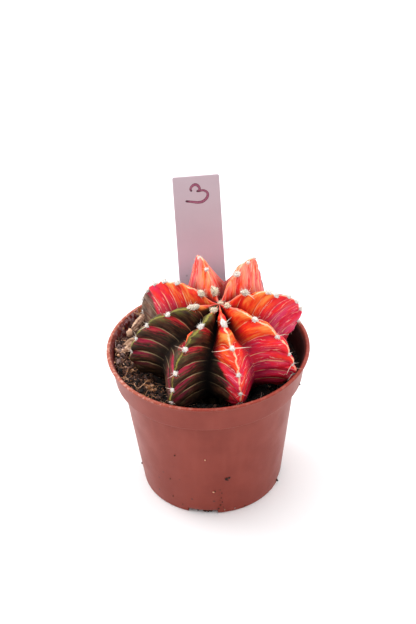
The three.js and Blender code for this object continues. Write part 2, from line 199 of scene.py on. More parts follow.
def sweep(paths, halfWidths, halfDepths, upward, sides):
    # Many closed tubes at once: an ellipse carried along each path, wide across and flat upward
    count, steps = paths.shape[:2]
    tangent = unit(np.gradient(paths, axis=1))
    across = unit(np.cross(tangent, upward))
    top = np.cross(across, tangent)
    angle = 2 * np.pi * np.arange(sides) / sides
    wide = (halfWidths[..., None] * np.cos(angle))[..., None]
    deep = (halfDepths[..., None] * np.sin(angle))[..., None]
    points = paths[:, :, None] + wide * across[:, :, None] + deep * top[:, :, None]
    first = np.arange(sides)[None]
    ends = np.vstack([first, first[:, ::-1] + (steps - 1) * sides])
    shift = (np.arange(count) * steps * sides)[:, None, None]
    blocks = [(gridFaces(steps, sides) + shift).reshape(-1, 4), (ends + shift).reshape(-1, sides)]
    return points.reshape(-1, 3), blocks


def ballTemplate(columns, rings):
    # Points of a unit ball, its two poles last, and the faces that join them
    polar = (np.pi * (np.arange(rings) + 1) / (rings + 1))[:, None]
    ball = onRing(np.sin(polar), 2 * np.pi * np.arange(columns) / columns, np.cos(polar))
    return np.vstack([ball.reshape(-1, 3), [[0, 0, 1], [0, 0, -1]]]), closedGrid(rings, columns)


def scatter(template, places, bases, scales, roughness, random, lumps=0.0):
    # Copies of a template: each is made lumpy and rough, scaled along its own axes, turned and placed
    shape, blocks = template
    count, size = len(places), len(shape)
    jitter = 1 + roughness * (2 * random.random((count, size, 1)) - 1)
    jitter += lumps * softNoise(2.1 * shape + 7.3 * np.arange(count)[:, None, None], 1, 17)[..., None]
    local = shape[None] * jitter * scales[:, None]
    points = places[:, None] + np.einsum("nij,nkj->nki", bases, local)
    shift = (np.arange(count) * size)[:, None, None]
    return points.reshape(-1, 3), [(block + shift).reshape(-1, block.shape[1]) for block in blocks]


def randomTurns(count, random):
    # Random turning matrices from random directions and their cross products
    first = unit(random.normal(size=(count, 3)))
    second = unit(np.cross(first, random.normal(size=(count, 3))))
    return np.stack([first, second, np.cross(first, second)], -1)


class Wire:
    # A node's output; plus, minus, times and abs each put in a math node and give its output
    def __init__(self, node, output=0):
        self.socket = node.outputs[output]
        self.tree = node.id_data

    def __add__(self, other):
        return calc("ADD", self, other)

    def __sub__(self, other):
        return calc("SUBTRACT", self, other)

    def __rsub__(self, other):
        return calc("SUBTRACT", other, self)

    def __mul__(self, other):
        return calc("MULTIPLY", self, other)

    def __abs__(self):
        return calc("ABSOLUTE", self)


def feed(node, values):
    # Links each wire, or sets each plain value, at the node's input of that name or number
    for name, value in values.items():
        if isinstance(value, Wire):
            value.tree.links.new(value.socket, node.inputs[name])
        else:
            node.inputs[name].default_value = value


def put(kind, values, tree=None, **settings):
    # A new node with its settings, in the tree of the wires that feed it
    tree = tree or next(value.tree for value in values.values() if isinstance(value, Wire))
    made = tree.nodes.new("ShaderNode" + kind)
    for name, value in settings.items():
        setattr(made, name, value)
    feed(made, values)
    return made


def calc(operation, *terms):
    # A math node on wires and numbers
    return Wire(put("Math", dict(enumerate(terms)), operation=operation))


def paint(colour):
    # A screen colour as the linear light that shaders take; a wire stays as it is
    if isinstance(colour, Wire):
        return colour
    share = np.array(colour) / 255
    linear = np.where(share > 0.04, ((share + 0.055) / 1.055) ** 2.4, share / 12.92)
    return linear.tolist() + [1.0]


def fade(value, low, high):
    # An S-shaped rise from 0 at low to 1 at high; it falls where low is the larger
    values = {"Value": value, "From Min": low, "From Max": high}
    return Wire(put("MapRange", values, interpolation_type="SMOOTHSTEP"), "Result")


def mixed(share, first, second, how="MIX"):
    # From the first colour to the second as the share goes from 0 to 1
    factor, a, b, result = 0, 6, 7, 2
    values = {factor: share, a: paint(first), b: paint(second)}
    return Wire(put("Mix", values, data_type="RGBA", blend_type=how), result)


def ramp(value, stops):
    # Colours at places from 0 to 1
    made = put("ValToRGB", {0: value})
    points = made.color_ramp.elements
    while len(points) < len(stops):
        points.new(0.5)
    for point, (place, colour) in zip(points, stops):
        point.position = place
        point.color = paint(colour)
    return Wire(made)


def noise(place, scale, detail=2.0, roughness=0.5):
    # From 0 to 1, mostly near a half
    values = {"Vector": place, "Scale": scale, "Detail": detail, "Roughness": roughness}
    return Wire(put("TexNoise", values))


def parts(vector):
    # The three numbers of a vector
    made = put("SeparateXYZ", {0: vector})
    return [Wire(made, axis) for axis in range(3)]


def field(place, name):
    # The three numbers that the piece carries under that name
    return parts(Wire(put("Attribute", {}, place.tree, attribute_name=name), "Vector"))


def joined(x, y, z):
    # A vector of three numbers
    return Wire(put("CombineXYZ", {0: x, 1: y, 2: z}))


def relief(height, depth, strength=1.0):
    # Normals of a surface that rises by the depth in millimetres where the height rises by 1
    return Wire(put("Bump", {"Height": height, "Distance": depth * mm, "Strength": strength}))


def finish(name):
    # A new material, its shader and its Object coordinates
    material = bpy.data.materials.new(name)
    material.use_nodes = True
    tree = material.node_tree
    return material, tree.nodes["Principled BSDF"], Wire(put("TexCoord", {}, tree), "Object")


def newGroup(name, inputs, outputs):
    # A node group, wires from its inputs by name, and the node that takes what it puts out
    group = bpy.data.node_groups.new(name, "ShaderNodeTree")
    for label, kind, value in inputs:
        socket = group.interface.new_socket(label, in_out="INPUT", socket_type="NodeSocket" + kind)
        if value is not None:
            socket.default_value = value
    for label in outputs:
        group.interface.new_socket(label, in_out="OUTPUT", socket_type="NodeSocketFloat")
    given = group.nodes.new("NodeGroupInput")
    wires = {label: Wire(given, label) for label, kind, value in inputs}
    return group, wires, group.nodes.new("NodeGroupOutput")


def grainGroup():
    # Slow and fine noise together: a tone for colour and roughness, and a height for the bump
    inputs = [("Place", "Vector", None), ("Scale", "Float", 1000.0)]
    group, given, out = newGroup("grain", inputs, ["Tone", "Height"])
    slow = noise(given["Place"], given["Scale"], 3.0, 0.6)
    fine = noise(given["Place"], given["Scale"] * 5.3, 2.0, 0.6)
    feed(out, {"Tone": fade(slow, 0.3, 0.7), "Height": fine * 0.4 + slow})
    return group


def speckGroup():
    # Small scattered spots, where a cell's middle is near and its own number is below the amount
    inputs = [("Place", "Vector", None), ("Scale", "Float", 1000.0), ("Amount", "Float", 0.2)]
    group, given, out = newGroup("specks", inputs, ["Mask"])
    cells = put("TexVoronoi", {"Vector": given["Place"], "Scale": given["Scale"]})
    chosen = calc("LESS_THAN", parts(Wire(cells, "Color"))[0], given["Amount"])
    feed(out, {"Mask": fade(Wire(cells, "Distance"), 0.32, 0.12) * chosen})
    return group


grain = grainGroup()
specks = speckGroup()


def grainOn(place, size):
    # The tone and height of the grain, with its size in millimetres
    made = put("Group", {"Place": place, "Scale": 1 / (size * mm)}, node_tree=grain)
    return {name: Wire(made, name) for name in ("Tone", "Height")}


def specksOn(place, size, amount):
    # Spots in that share of the cells, with the size of a cell in millimetres
    made = put("Group", {"Place": place, "Scale": 1 / (size * mm), "Amount": amount}, node_tree=specks)
    return Wire(made, "Mask")


print("tools ready")


pot = {
    "rimRadius": 27.5, "rimDepth": 0.85, "collarDepth": 8.4, "collarTop": 26.65, "collarFoot": 25.6,
    "bodyTop": 23.75, "base": 19.4, "wall": 0.8, "foot": 1.5, "pad": 8.0,
    "notchWidth": 8.3, "notchHeight": 1.2, "notchTurn": 260.6,
    "drainRadius": 1.7, "drainRing": 13.8, "drains": 8, "drainHeights": (0.5, 3.5),
    "columns": 168, "outOfRound": 0.06,
    "colour": (140, 54, 39), "otherColour": (131, 49, 35), "flowColour": (158, 72, 56),
    # rim colours: plain, paler on the left with painted light, and worn with painted highlights
    "rimColour": (146, 52, 38), "litRimColour": (172, 84, 62), "wearHighlightColour": (222, 170, 154),
    # inside: stain with painted shade, and a painted shadow on the right where the plant shades the wall
    "insideStainAndShadeColour": (104, 22, 17), "insideShadowColour": (22, 5, 6),
    "residueColour": (176, 150, 154), "peatColour": (74, 46, 36), "lowInsideColour": (12, 6, 4),
    "soiledColour": (70, 40, 34), "roughness": 0.36, "specular": 0.27,
    "residueTowards": 126, "edge": 0.16,
    # crumbs of dirt on the outside: direction, height, size, tone from dark to light
    "specks": [(243, 22, 0.22, 0.26), (265, 22, 0.24, 0.85), (236, 11.5, 0.24, 0.24),
               (280, 14, 0.4, 0.17), (282, 14.2, 0.26, 0.2), (281, 13.2, 0.16, 0.3),
               (270, 9, 0.28, 0.9), (271.2, 9.3, 0.22, 0.25), (236, 4.5, 0.2, 0.26),
               (275, 9.6, 0.18, 0.28), (276.4, 8.3, 0.15, 0.3), (274.2, 7.6, 0.13, 0.3),
               (275.8, 6.3, 0.2, 0.24), (274.8, 5.4, 0.12, 0.3), (276.6, 4.6, 0.2, 0.24),
               (275.2, 3.4, 0.25, 0.2), (277.4, 2.4, 0.18, 0.3), (273.6, 2.0, 0.2, 0.22),
               (278.6, 1.3, 0.22, 0.6), (244, 2.4, 0.16, 0.3), (190, 5.5, 0.28, 0.2),
               (337, 0.9, 0.36, 0.18), (335, 1.6, 0.24, 0.24), (341, 35.6, 0.25, 0.2),
               (287, 1.2, 0.2, 0.6), (296, 0.8, 0.2, 0.3)],
    # the same for crumbs in the front notch, and how far inside the wall they lie
    "notchCrumbs": [(262, 0.5, 0.42, 0.2), (264.6, 0.6, 0.5, 0.24), (267.2, 0.4, 0.34, 0.18),
                    (256, 0.2, 0.25, 0.3)],
    "notchInset": 0.9, "speckSeed": 5,
}
collarFootHeight = potHeight - pot["collarDepth"]
ledge = collarFootHeight + pot["wall"]


def wallRadius(height):
    # Radius of the inside of the wall: one slope below the ledge, another in the collar above it
    lower = between(pot["base"], pot["bodyTop"], np.clip(height / collarFootHeight, 0, 1)) - pot["wall"]
    rise = np.clip((height - ledge) / (potHeight - ledge), 0, 1)
    upper = between(pot["collarFoot"], pot["collarTop"], rise) - pot["wall"]
    return np.where(height < ledge, lower, upper)


def potProfile():
    # Outside from the pad on the table to the rim, then the inside down to the middle of the floor
    foot, base, wall = pot["foot"], pot["base"], pot["wall"]
    rim, depth, top = pot["rimRadius"], pot["rimDepth"], potHeight
    collarTop, collarFoot = pot["collarTop"], pot["collarFoot"]
    outside = [(0, 0), (pot["pad"], 0), (pot["pad"] + 0.9, foot), (base - 0.9, foot), (base - 0.9, 0),
               (base - 0.2, 0), (base, 0.25), (pot["bodyTop"], collarFootHeight - 0.1),
               (collarFoot - 0.15, collarFootHeight), (collarFoot, collarFootHeight + 0.2),
               (collarTop, top - depth), (rim - 0.2, top - depth + 0.05), (rim, top - depth + 0.25),
               (rim, top - 0.25), (rim - 0.25, top)]
    inside = [(collarTop + 0.1, top), (collarTop - 0.15, top - 0.2), (collarTop - wall, top - 1.2),
              (collarFoot - wall, ledge + 0.3), (collarFoot - wall - 0.3, ledge),
              (pot["bodyTop"] - wall, ledge), (base - wall, foot + wall + 0.4),
              (base - wall - 0.4, foot + wall), (pot["pad"] + 1.3, foot + wall),
              (pot["pad"] + 0.3, wall), (0, wall)]
    return rounded(outside + inside, pot["edge"], 1.5)


def cutBy(points, faces, cutterPoints, cutterFaces):
    # Takes the cutter out of a closed mesh, and gives back the points and the faces by their size
    made = []
    for name, co, blocks in (("blank", points, faces), ("cutter", cutterPoints, cutterFaces)):
        mesh = bpy.data.meshes.new(name)
        mesh.from_pydata(co.tolist(), [], [face for block in blocks for face in block.tolist()])
        made.append(bpy.data.objects.new(name, mesh))
        bpy.context.scene.collection.objects.link(made[-1])
    cut = made[0].modifiers.new("cut", "BOOLEAN")
    cut.operation = "DIFFERENCE"
    cut.solver = "EXACT"
    cut.object = made[1]
    whole = made[0].evaluated_get(bpy.context.evaluated_depsgraph_get()).to_mesh()
    co = np.empty(len(whole.vertices) * 3)
    whole.vertices.foreach_get("co", co)
    loops = np.empty(len(whole.loops), int)
    whole.loops.foreach_get("vertex_index", loops)
    starts = np.empty(len(whole.polygons), int)
    whole.polygons.foreach_get("loop_start", starts)
    sizes = np.diff(np.append(starts, len(loops)))
    blocks = [loops[starts[sizes == n][:, None] + np.arange(n)] for n in np.unique(sizes)]
    made[0].to_mesh_clear()
    for blank in made:
        bpy.data.objects.remove(blank)
    return co.reshape(-1, 3), blocks


def makePot(material):
    # The profile carried round the axis, with columns at the notches' edges, where the foot ring is
    # squeezed up; drain holes cut in the floor; the wall bent inwards by sines of the direction
    columns = np.arange(pot["columns"]) * 360 / pot["columns"]
    halfNotch = np.degrees(pot["notchWidth"] / 2 / pot["base"])
    notches = pot["notchTurn"] + 90 * np.arange(4)
    steps = np.outer([-1, 1], halfNotch + np.array([-0.12, 0.12]))
    angles = np.sort(np.append(columns, np.add.outer(notches, steps)) % 360)
    points, faces = lathe(potProfile(), np.radians(angles))
    # the foot ring in the notches
    x, y, height = points.T
    inRing = (np.hypot(x, y) > pot["base"] - 1.0) & (height < pot["foot"] - 0.01)
    fromNotch = np.abs((np.degrees(np.arctan2(y, x)) - pot["notchTurn"] + 45) % 90 - 45)
    inNotch = inRing & (fromNotch < halfNotch)
    squeezed = pot["notchHeight"] + height * (pot["foot"] - pot["notchHeight"]) / pot["foot"]
    points[:, 2] = np.where(inNotch, squeezed, height)
    # the drain holes
    holeWays = np.radians((np.arange(pot["drains"]) + 0.5) * 360 / pot["drains"])
    plugPaths = onRing(pot["drainRing"], holeWays[:, None], np.array(pot["drainHeights"]))
    width = np.full(plugPaths.shape[:2], pot["drainRadius"])
    points, faces = cutBy(points, faces, *sweep(plugPaths, width, width, np.array([0, 1.0, 0]), 28))
    # out of round
    way = np.arctan2(points[:, 1], points[:, 0])
    bend = 0.5 * pot["outOfRound"] * (np.sin(2 * way + 0.7) + 0.5 * np.sin(5 * way) - 1.5)
    points += unit(points * [1, 1, 0]) * bend[:, None] * np.clip(points[:, 2:] / potHeight, 0, 1)
    # where the inside, the rim and the residue on the wall are
    height = points[:, 2]
    reach = np.hypot(points[:, 0], points[:, 1])
    inner = smooth(wallRadius(height) + 0.8 - reach, 0, 0.3) * (height > 2)
    rim = smooth(height, potHeight - 0.6, potHeight - 0.15) * (1 - inner)
    behind = smooth(np.cos(way - np.radians(pot["residueTowards"])), 0.72, 0.95)
    left = smooth(np.cos(way - np.radians(soil["towards"])), 0.5, 0.9) * smooth(height, 42.3, 43.1)
    residue = inner * smooth(height, 36, 38) * np.maximum(0.04 + 0.96 * behind, 0.7 * left)
    makePiece("pot_shell", points, faces, material, ["pot"],
              {"potMarks": triple(inner, rim, residue)}, sharp=38)


def potPlastic():
    # Satin moulded plastic: faint flow lines, scuffs and dust; a rim paler on the left with painted
    # light and worn with painted highlights; a stained inside, darkened with painted shade and painted
    # shadow
    material, shader, place = finish("terracotta plastic")
    inner, rim, residue = field(place, "potMarks")
    x, y, z = parts(place)
    slow = grainOn(place, 9.0)
    fine = grainOn(place, 0.7)
    flow = noise(joined(x * 260.0, y * 260.0, z * 25.0), 1.0, 3.0)
    base = mixed(slow["Tone"], pot["colour"], pot["otherColour"])
    base = mixed(fade(flow, 0.45, 0.8) * 0.25, base, pot["flowColour"])
    # the inside: partly stain, partly painted shade, with a painted shadow on the right
    inside = mixed(fade(x, -0.012, 0.012), pot["insideStainAndShadeColour"], pot["insideShadowColour"])
    # darker low down on the inside wall, near the soil
    lowInside = fade(noise(place, 500.0, 3.0) * 0.0016 + z, 0.0376, 0.0368)
    inside = mixed(lowInside, inside, pot["lowInsideColour"])
    lowInside = lowInside * inner
    base = mixed(lowInside * 0.1 + inner * 0.9, base, inside)
    # painted light: the rim paler on the left, where the key light falls
    rimWithLitLeft = mixed(fade(x, 0.0, -0.024), pot["rimColour"], pot["litRimColour"])
    base = mixed(rim * 0.85, base, rimWithLitLeft)
    peat = fade(noise(place, 330.0, 4.0, 0.75), 0.5, 0.6) * residue
    base = mixed(peat * 0.75, base, pot["peatColour"])
    high = fade(z, 0.0385, 0.0415)
    dust = fade(noise(place, 700.0, 5.0, 0.75), 0.46, 0.58) * residue * high
    base = mixed(dust * 0.7, base, pot["residueColour"])
    # wear on the rim, with painted highlights that are strongest on the left
    wearAndHighlight = rim * fade(noise(place, 900.0, 4.0, 0.7), 0.48, 0.66)
    wearAndHighlight = wearAndHighlight * (fade(x, 0.0, -0.024) * 0.58 + 0.12)
    base = mixed(wearAndHighlight, base, pot["wearHighlightColour"])
    soiled = specksOn(place, 1.5, 0.05) * fade(z, 0.024, 0.004)
    base = mixed(soiled * 0.8, base, pot["soiledColour"])
    rough = slow["Tone"] * 0.1 + pot["roughness"] + dust * 0.35 + lowInside * 0.4 + inner * 0.25
    height = flow * 0.8 + fine["Height"]
    feed(shader, {"Base Color": base, "Roughness": rough, "Specular IOR Level": pot["specular"],
                  "Normal": relief(height, 0.05, 0.35)})
    return material


def makeSpecks(material):
    # Crumbs of soil that cling to the outside of the pot: rough balls on a ring at each one's height
    random = np.random.default_rng(pot["speckSeed"])
    way, height, size, tone = np.array(pot["specks"] + pot["notchCrumbs"]).T
    inset = np.repeat([0, pot["notchInset"]], [len(pot["specks"]), len(pot["notchCrumbs"])])
    body = between(pot["base"], pot["bodyTop"], height / collarFootHeight)
    reach = np.where(height > collarFootHeight, pot["collarFoot"], body)
    places = onRing(reach + 0.12 * size - inset, np.radians(way), height)
    template = ballTemplate(8, 5)
    scales = size[:, None] * (0.7 + 0.6 * random.random((len(size), 3)))
    points, faces = scatter(template, places, randomTurns(len(size), random), scales, 0.2, random)
    points[:, 2] = np.maximum(points[:, 2], 0.02)
    makePiece("clinging_dirt", points, faces, material,
              fields={"tone": np.repeat(tone, len(template[0]))}, sharp=45)


plant = {
    "centre": (3.4, 1.2), "lean": 0.055, "reach": 24.5, "hump": 0.3, "notch": 0.42, "swelling": 0.95,
    "crestEdge": 0.4, "edgeShare": 0.045, "arch": 0.9, "crownDip": 1.6, "gap": 6.0, "rootDepth": 18.0,
    "columns": 20, "wander": 0.26, "wrinkle": 0.12,
    # a rib whose green begins above this many mm is green in the crown's valleys too; the strip,
    # of two to a rib, whose green is ashen
    "crownGreen": 10, "ashenStrip": 7,
}

# Each rib's direction near the crown and at its tip, reach, lift, and areoles along its crest.
# outline: mm by which the crest stands out from the shared crest line, by distance along it;
# where there is none, jag: how far it humps between the outer areoles; tuck: how far its foot draws in;
# skew: how far the furrows climb on their way to the valley, and where along the rib they do so;
# valley: degrees and mm by which the valley after the rib lies aside and further out;
# turns: where orange gives way to crimson; marks: between where cream lines or magenta bands show;
# olive: where the dark green begins, on the faces before and after the crest; slant: by how much later
# it does so towards the valley; greenFrom: the share of the face before the crest that it leaves bare,
# high and low on the rib; redPatch: where a red patch lies in that face's green; bloom: how much pale
# pink lies over the ripe skin, and lilac over its lower half; full: how far the faces swell;
# paintedShade: how dark the painted shade in the valley after the rib is, at its upper and lower end
never = 99
ribs = [
    dict(crown=5, tip=0, reach=22.4, lift=2.7, areoles=[7.9, 14.8, 17.6, 20.9, 23.8, 26.3, 29.6, 33.4],
         outline=[(0, 0), (3.3, -0.3), (5.1, 0.1), (6.6, 0.5), (7.9, 0.4), (9.3, -0.44), (10.3, -1.3),
                  (11.1, -0.7), (12, -0.26), (13.3, -0.11), (14.9, -0.45), (16.3, -0.6), (17.5, -0.95),
                  (18.5, -0.5), (19.3, 0), (20.9, 0.4), (22.2, 0.5), (23.4, 0.7), (24.3, 0.8),
                  (25, 0.65), (25.7, 0.2), (26.6, 0.45), (27.3, 0.5), (28.2, -0.3), (29.4, -1.5),
                  (29.9, -1.4), (31.3, -2.6), (32, -2.5), (33.7, -3.9), (36, -4.3), (38, -3.3),
                  (42, -1.4), (47, 0)],
         skew=(3.2, 0, 24), turns=(14, 22), marks=(15, never), olive=(never, never),
         lilac=0.7, full=0.75, paintedShade=(0.8, 0.3)),
    dict(crown=58, tip=59, reach=23.7, lift=3.1, areoles=[10.1, 17.2, 21.2, 24.6, 28.4, 32.4, 36.4],
         outline=[(0, 0), (2.7, 0.3), (4.9, 0.8), (7.2, 0.9), (8.2, 1.1), (9.3, 0.5), (10.1, 0.2),
                  (11.4, 0.5), (12.8, 1.0), (13.7, 1.2), (15.3, 0.5), (16.8, -0.6), (17.6, 0.1),
                  (19.4, 0.6), (20.9, 0.4), (22.5, 0.1), (24.3, -1.0), (25.6, -1.1), (27.1, -0.8),
                  (28.8, -1.5), (31.3, -1.4), (34, -0.4), (38, 0), (47, 0)],
         skew=(3.2, 0, 24), turns=(20, 30), marks=(6, 30), olive=(26, 29),
         slant=(7, -5), bloom=0.3, full=0.7, paintedShade=(0.85, 0.4)),
    dict(crown=106, tip=106, reach=22.6, lift=4.0, areoles=[4.6, 12.3, 19.5, 24.3, 28.7, 32.6, 36.4],
         jag=1.1, tuck=0.5, skew=(3.2, 0, 24), turns=(20, 32), marks=(6, 29),
         olive=(32, 27), slant=(-5, 6), bloom=0.3, full=0.4, paintedShade=(1, 0.5)),
    dict(crown=152, tip=150.5, reach=24.4, lift=1.2, areoles=[5.6, 12.8, 17.0, 20.4, 24.7, 28.3, 32.8],
         outline=[(0, 0), (1.9, -0.5), (3.8, -0.4), (5.6, -0.1), (7.8, 0.17), (9.9, 0.05), (11.4, 0.6),
                  (12.7, 0.2), (13.5, 0.38), (16.3, 0.05), (17.3, 0.43), (18.2, 0.49), (19.4, -0.1),
                  (20.4, 0), (21.6, 0.1), (23.2, 0.2), (24.4, -0.59), (25, -0.1), (26.6, 0),
                  (28.3, -0.3), (30.2, -0.1), (31.8, -0.5), (36, -0.9), (41, -0.5), (47, 0)],
         skew=(3.2, 3, 30), turns=(12, 20), marks=(14, 27),
         olive=(26, 25), slant=(5, 4.5), full=0.75, paintedShade=(1, 0.6)),
    dict(crown=206, tip=194.5, reach=24.8, lift=-0.6, areoles=[7.8, 14.7, 20.9, 25.7, 29.9, 33.5],
         jag=0.75, skew=(2.9, 2, 24), valley=(-5.5, 1.1), turns=(8, 16), marks=(9, never),
         olive=(7.4, 7.6), full=1, paintedShade=(0.85, 0.85)),
    dict(crown=248.5, tip=241, reach=27.2, lift=0, areoles=[4, 11.5, 18.8, 25, 29.3, 32.8, 36.4],
         jag=0.65, tuck=-0.9, skew=(4.1, 10, 26), valley=(-4.4, 0), turns=(8, 16), marks=(6, never),
         olive=(4.6, 5), redPatch=(14, 19.6), full=1, paintedShade=(1, 1)),
    dict(crown=272, tip=281, reach=23.8, lift=-1.3, areoles=[10.8, 18.3, 25.3, 30.6, 34.3],
         jag=0.6, skew=(5.2, 6, 28), turns=(18, 26), marks=(17, never),
         olive=(19, never), greenFrom=(0.92, 0.36), full=0.85, paintedShade=(0.95, 0.3)),
    dict(crown=314, tip=326, reach=22.9, lift=-2.2, areoles=[3.3, 13.1, 20.4, 26.2, 29.2, 32.4, 36],
         jag=0.9, tuck=-0.4, skew=(4.2, 0, 24), turns=(18, 24), marks=(18, never),
         olive=(never, never), full=1, paintedShade=(0.85, 0.4)),
]
common = {"valley": (0, 0), "tuck": 0, "slant": (0, 0), "bloom": 0, "lilac": 0}
ribs = [common | rib for rib in ribs]
# the lines that crests and valleys share: distance from the plant's axis, and height over the rim
crownHeight = 12.7
crestLine = lineThrough([
    (0, crownHeight), (2.5, 13.4), (7, 14.7), (12, 14.7), (16.5, 13.4), (20.2, 11.1), (22.9, 7.8),
    (24.3, 4), (24.4, 0.4), (22.6, -2.4), (19, -4.9), (13.5, -8.4), (9.8, -12.2), (7.4, -18)])
valleyLine = lineThrough([
    (0, crownHeight), (2.4, 12), (5.5, 10.7), (9, 9.5), (12.3, 8), (14.8, 5.4), (16.2, 1.8), (16, -1.8),
    (14.2, -5.2), (11.6, -8.6), (9.2, -12.4), (7, -18)])


def formWeight(s):
    # How much of the rib's own reach and lean counts: all of it above, none at the root
    return 1 - smooth(s, 0.68, 0.86)


def reliefWeight(s):
    # How much of the humps and swells counts: none in the crown and at the root
    return smooth(s, 0.03, 0.13) * (1 - smooth(s, 0.66, 0.78))


def bandAt(rib, along):
    # Number of the areole above, growing evenly to the next one, and the distance between the two
    spare = 3
    before = rib["areoles"][0] - plant["gap"] * np.arange(spare, 0, -1)
    after = rib["areoles"][-1] + plant["gap"] * np.arange(1, spare + 1)
    marks = np.concatenate([before, rib["areoles"], after])
    number = np.interp(along, marks, np.arange(len(marks)))
    return number - spare + 1, np.diff(marks)[np.clip(number.astype(int), 0, len(marks) - 2)]


def swellAt(band):
    # A rounded swell between two furrows, fuller on its lower side
    return np.sin(np.pi * (band % 1) ** 1.15) ** 0.8


def directionOf(rib, s):
    # Direction of the rib in radians, which turns from its crown's to its tip's
    return np.radians(between(rib["crown"], rib["tip"], smooth(s, 0.05, 0.4)))


def asideOf(rib, s):
    # Level direction square to the rib's own
    way = directionOf(rib, s)
    return triple(-np.sin(way), np.cos(way), 0)


def placed(radius, height, direction, lift, s):
    # On a ring round the plant's own axis, with the rib's lift and a lean that grows towards +Y
    points = onRing(radius, direction)
    raised = lift * smooth(s, 0.05, 0.4) * (1 - smooth(s, 0.5, 0.72))
    points[..., 2] = potHeight + height + formWeight(s) * plant["lean"] * points[..., 1] + raised
    return points + [*plant["centre"], 0]


def crestPoint(rib, s):
    # The crest line stretched to the rib's reach and moved out by its outline, or by a hump between
    # each two areoles that is highest just above the lower one
    line = pointAt(crestLine, s)
    tangent = tangentAt(crestLine, s)
    run = s * crestLine["length"]
    stretch = between(1, rib["reach"] / plant["reach"], formWeight(s))
    if "outline" in rib:
        hump = np.interp(run, *np.transpose(rib["outline"])) * (1 - smooth(s, 0.66, 0.76))
        tuck = 0
    else:
        band = bandAt(rib, run)[0]
        height = between(plant["hump"], rib["jag"], smooth(run, 9, 16))
        hump = reliefWeight(s) * (height * np.sin(np.pi * (band % 1) ** 1.5) ** 0.8 - plant["notch"])
        tuck = rib["tuck"] * smooth(s, 0.45, 0.58) * (1 - smooth(s, 0.66, 0.8))
    radius = line[..., 0] * stretch - hump * tangent[..., 1] - tuck
    return placed(radius, line[..., 1] + hump * tangent[..., 0], directionOf(rib, s), rib["lift"], s)


def valleyPoint(rib, following, s):
    # Halfway between the two ribs, moved aside and out by the rib's own amounts, deeper by the crown
    line = pointAt(valleyLine, s)
    stretch = between(1, (rib["reach"] + following["reach"]) / 2 / plant["reach"], formWeight(s))
    wrap = 2 * np.pi if following["crown"] < rib["crown"] else 0
    degrees, outward = rib["valley"]
    weight = smooth(s, 0.18, 0.45) * formWeight(s)
    direction = (directionOf(rib, s) + directionOf(following, s) + wrap) / 2
    direction = direction + np.radians(degrees) * weight
    height = line[..., 1] - plant["crownDip"] * smooth(s, 0.02, 0.09) * (1 - smooth(s, 0.2, 0.36))
    radius = line[..., 0] * stretch + outward * weight
    return placed(radius, height, direction, (rib["lift"] + following["lift"]) / 2, s)


def crestRound(t):
    # Quarter circle next to the crest, then a slow fade towards the valley
    edge = plant["edgeShare"]
    near = np.sqrt(np.maximum(0, 1 - (1 - np.minimum(t, edge) / edge) ** 2))
    return np.where(t < edge, near, 1 - smooth(t, edge, 0.8))


def facePoints(rib, valley, side, t, s, number):
    # Straight from crest to valley, pushed out by the crest's rounding, by a swell between the
    # furrows that arch and climb across the face, and by fine wrinkles that follow them
    crest = crestPoint(rib, s)[:, None]
    across = valley[:, None] - crest
    along = crestPoint(rib, np.minimum(s + 0.01, 1)) - crestPoint(rib, np.maximum(s - 0.01, 0))
    outward = unit(np.cross(along[:, None], across)) * side
    width = np.linalg.norm(across, axis=-1)
    run = s[:, None] * crestLine["length"]
    climb, start, end = rib["skew"]
    arched = run + plant["arch"] * (4 * t * (1 - t)) ** 0.8 + climb * t * smooth(run, start, end)
    band, spacing = bandAt(rib, arched)
    weight = reliefWeight(s)[:, None]
    bulge = smooth(t, 0, 0.16) * (1 - smooth(t, 0.3, 0.98))
    swell = weight * bulge * (plant["swelling"] * np.clip(spacing / 5, 0.7, 1.1) * swellAt(band) - 0.42)
    where = triple(arched, t * width / 3, number * 7.3)
    wrinkle = softNoise(where, 1.1, 1) + 0.6 * softNoise(where, 0.45, 2)
    wrinkle = plant["wrinkle"] * weight * bulge * wrinkle * smooth(arched, 4, 16)
    rounding = plant["crestEdge"] * crestRound(t)
    offset = np.minimum(1, width / 7) * rib["full"] * (rounding + swell) + wrinkle
    wander = softNoise(triple(s * 59, rib["crown"], 0), 1.3, 3)
    wander = (plant["wander"] * weight * wander[:, None] * np.exp(-t / 0.15))[..., None]
    points = crest + across * t[:, None] + outward * offset[..., None]
    points += asideOf(rib, s)[:, None] * wander
    return points, band, spacing, arched, width * t


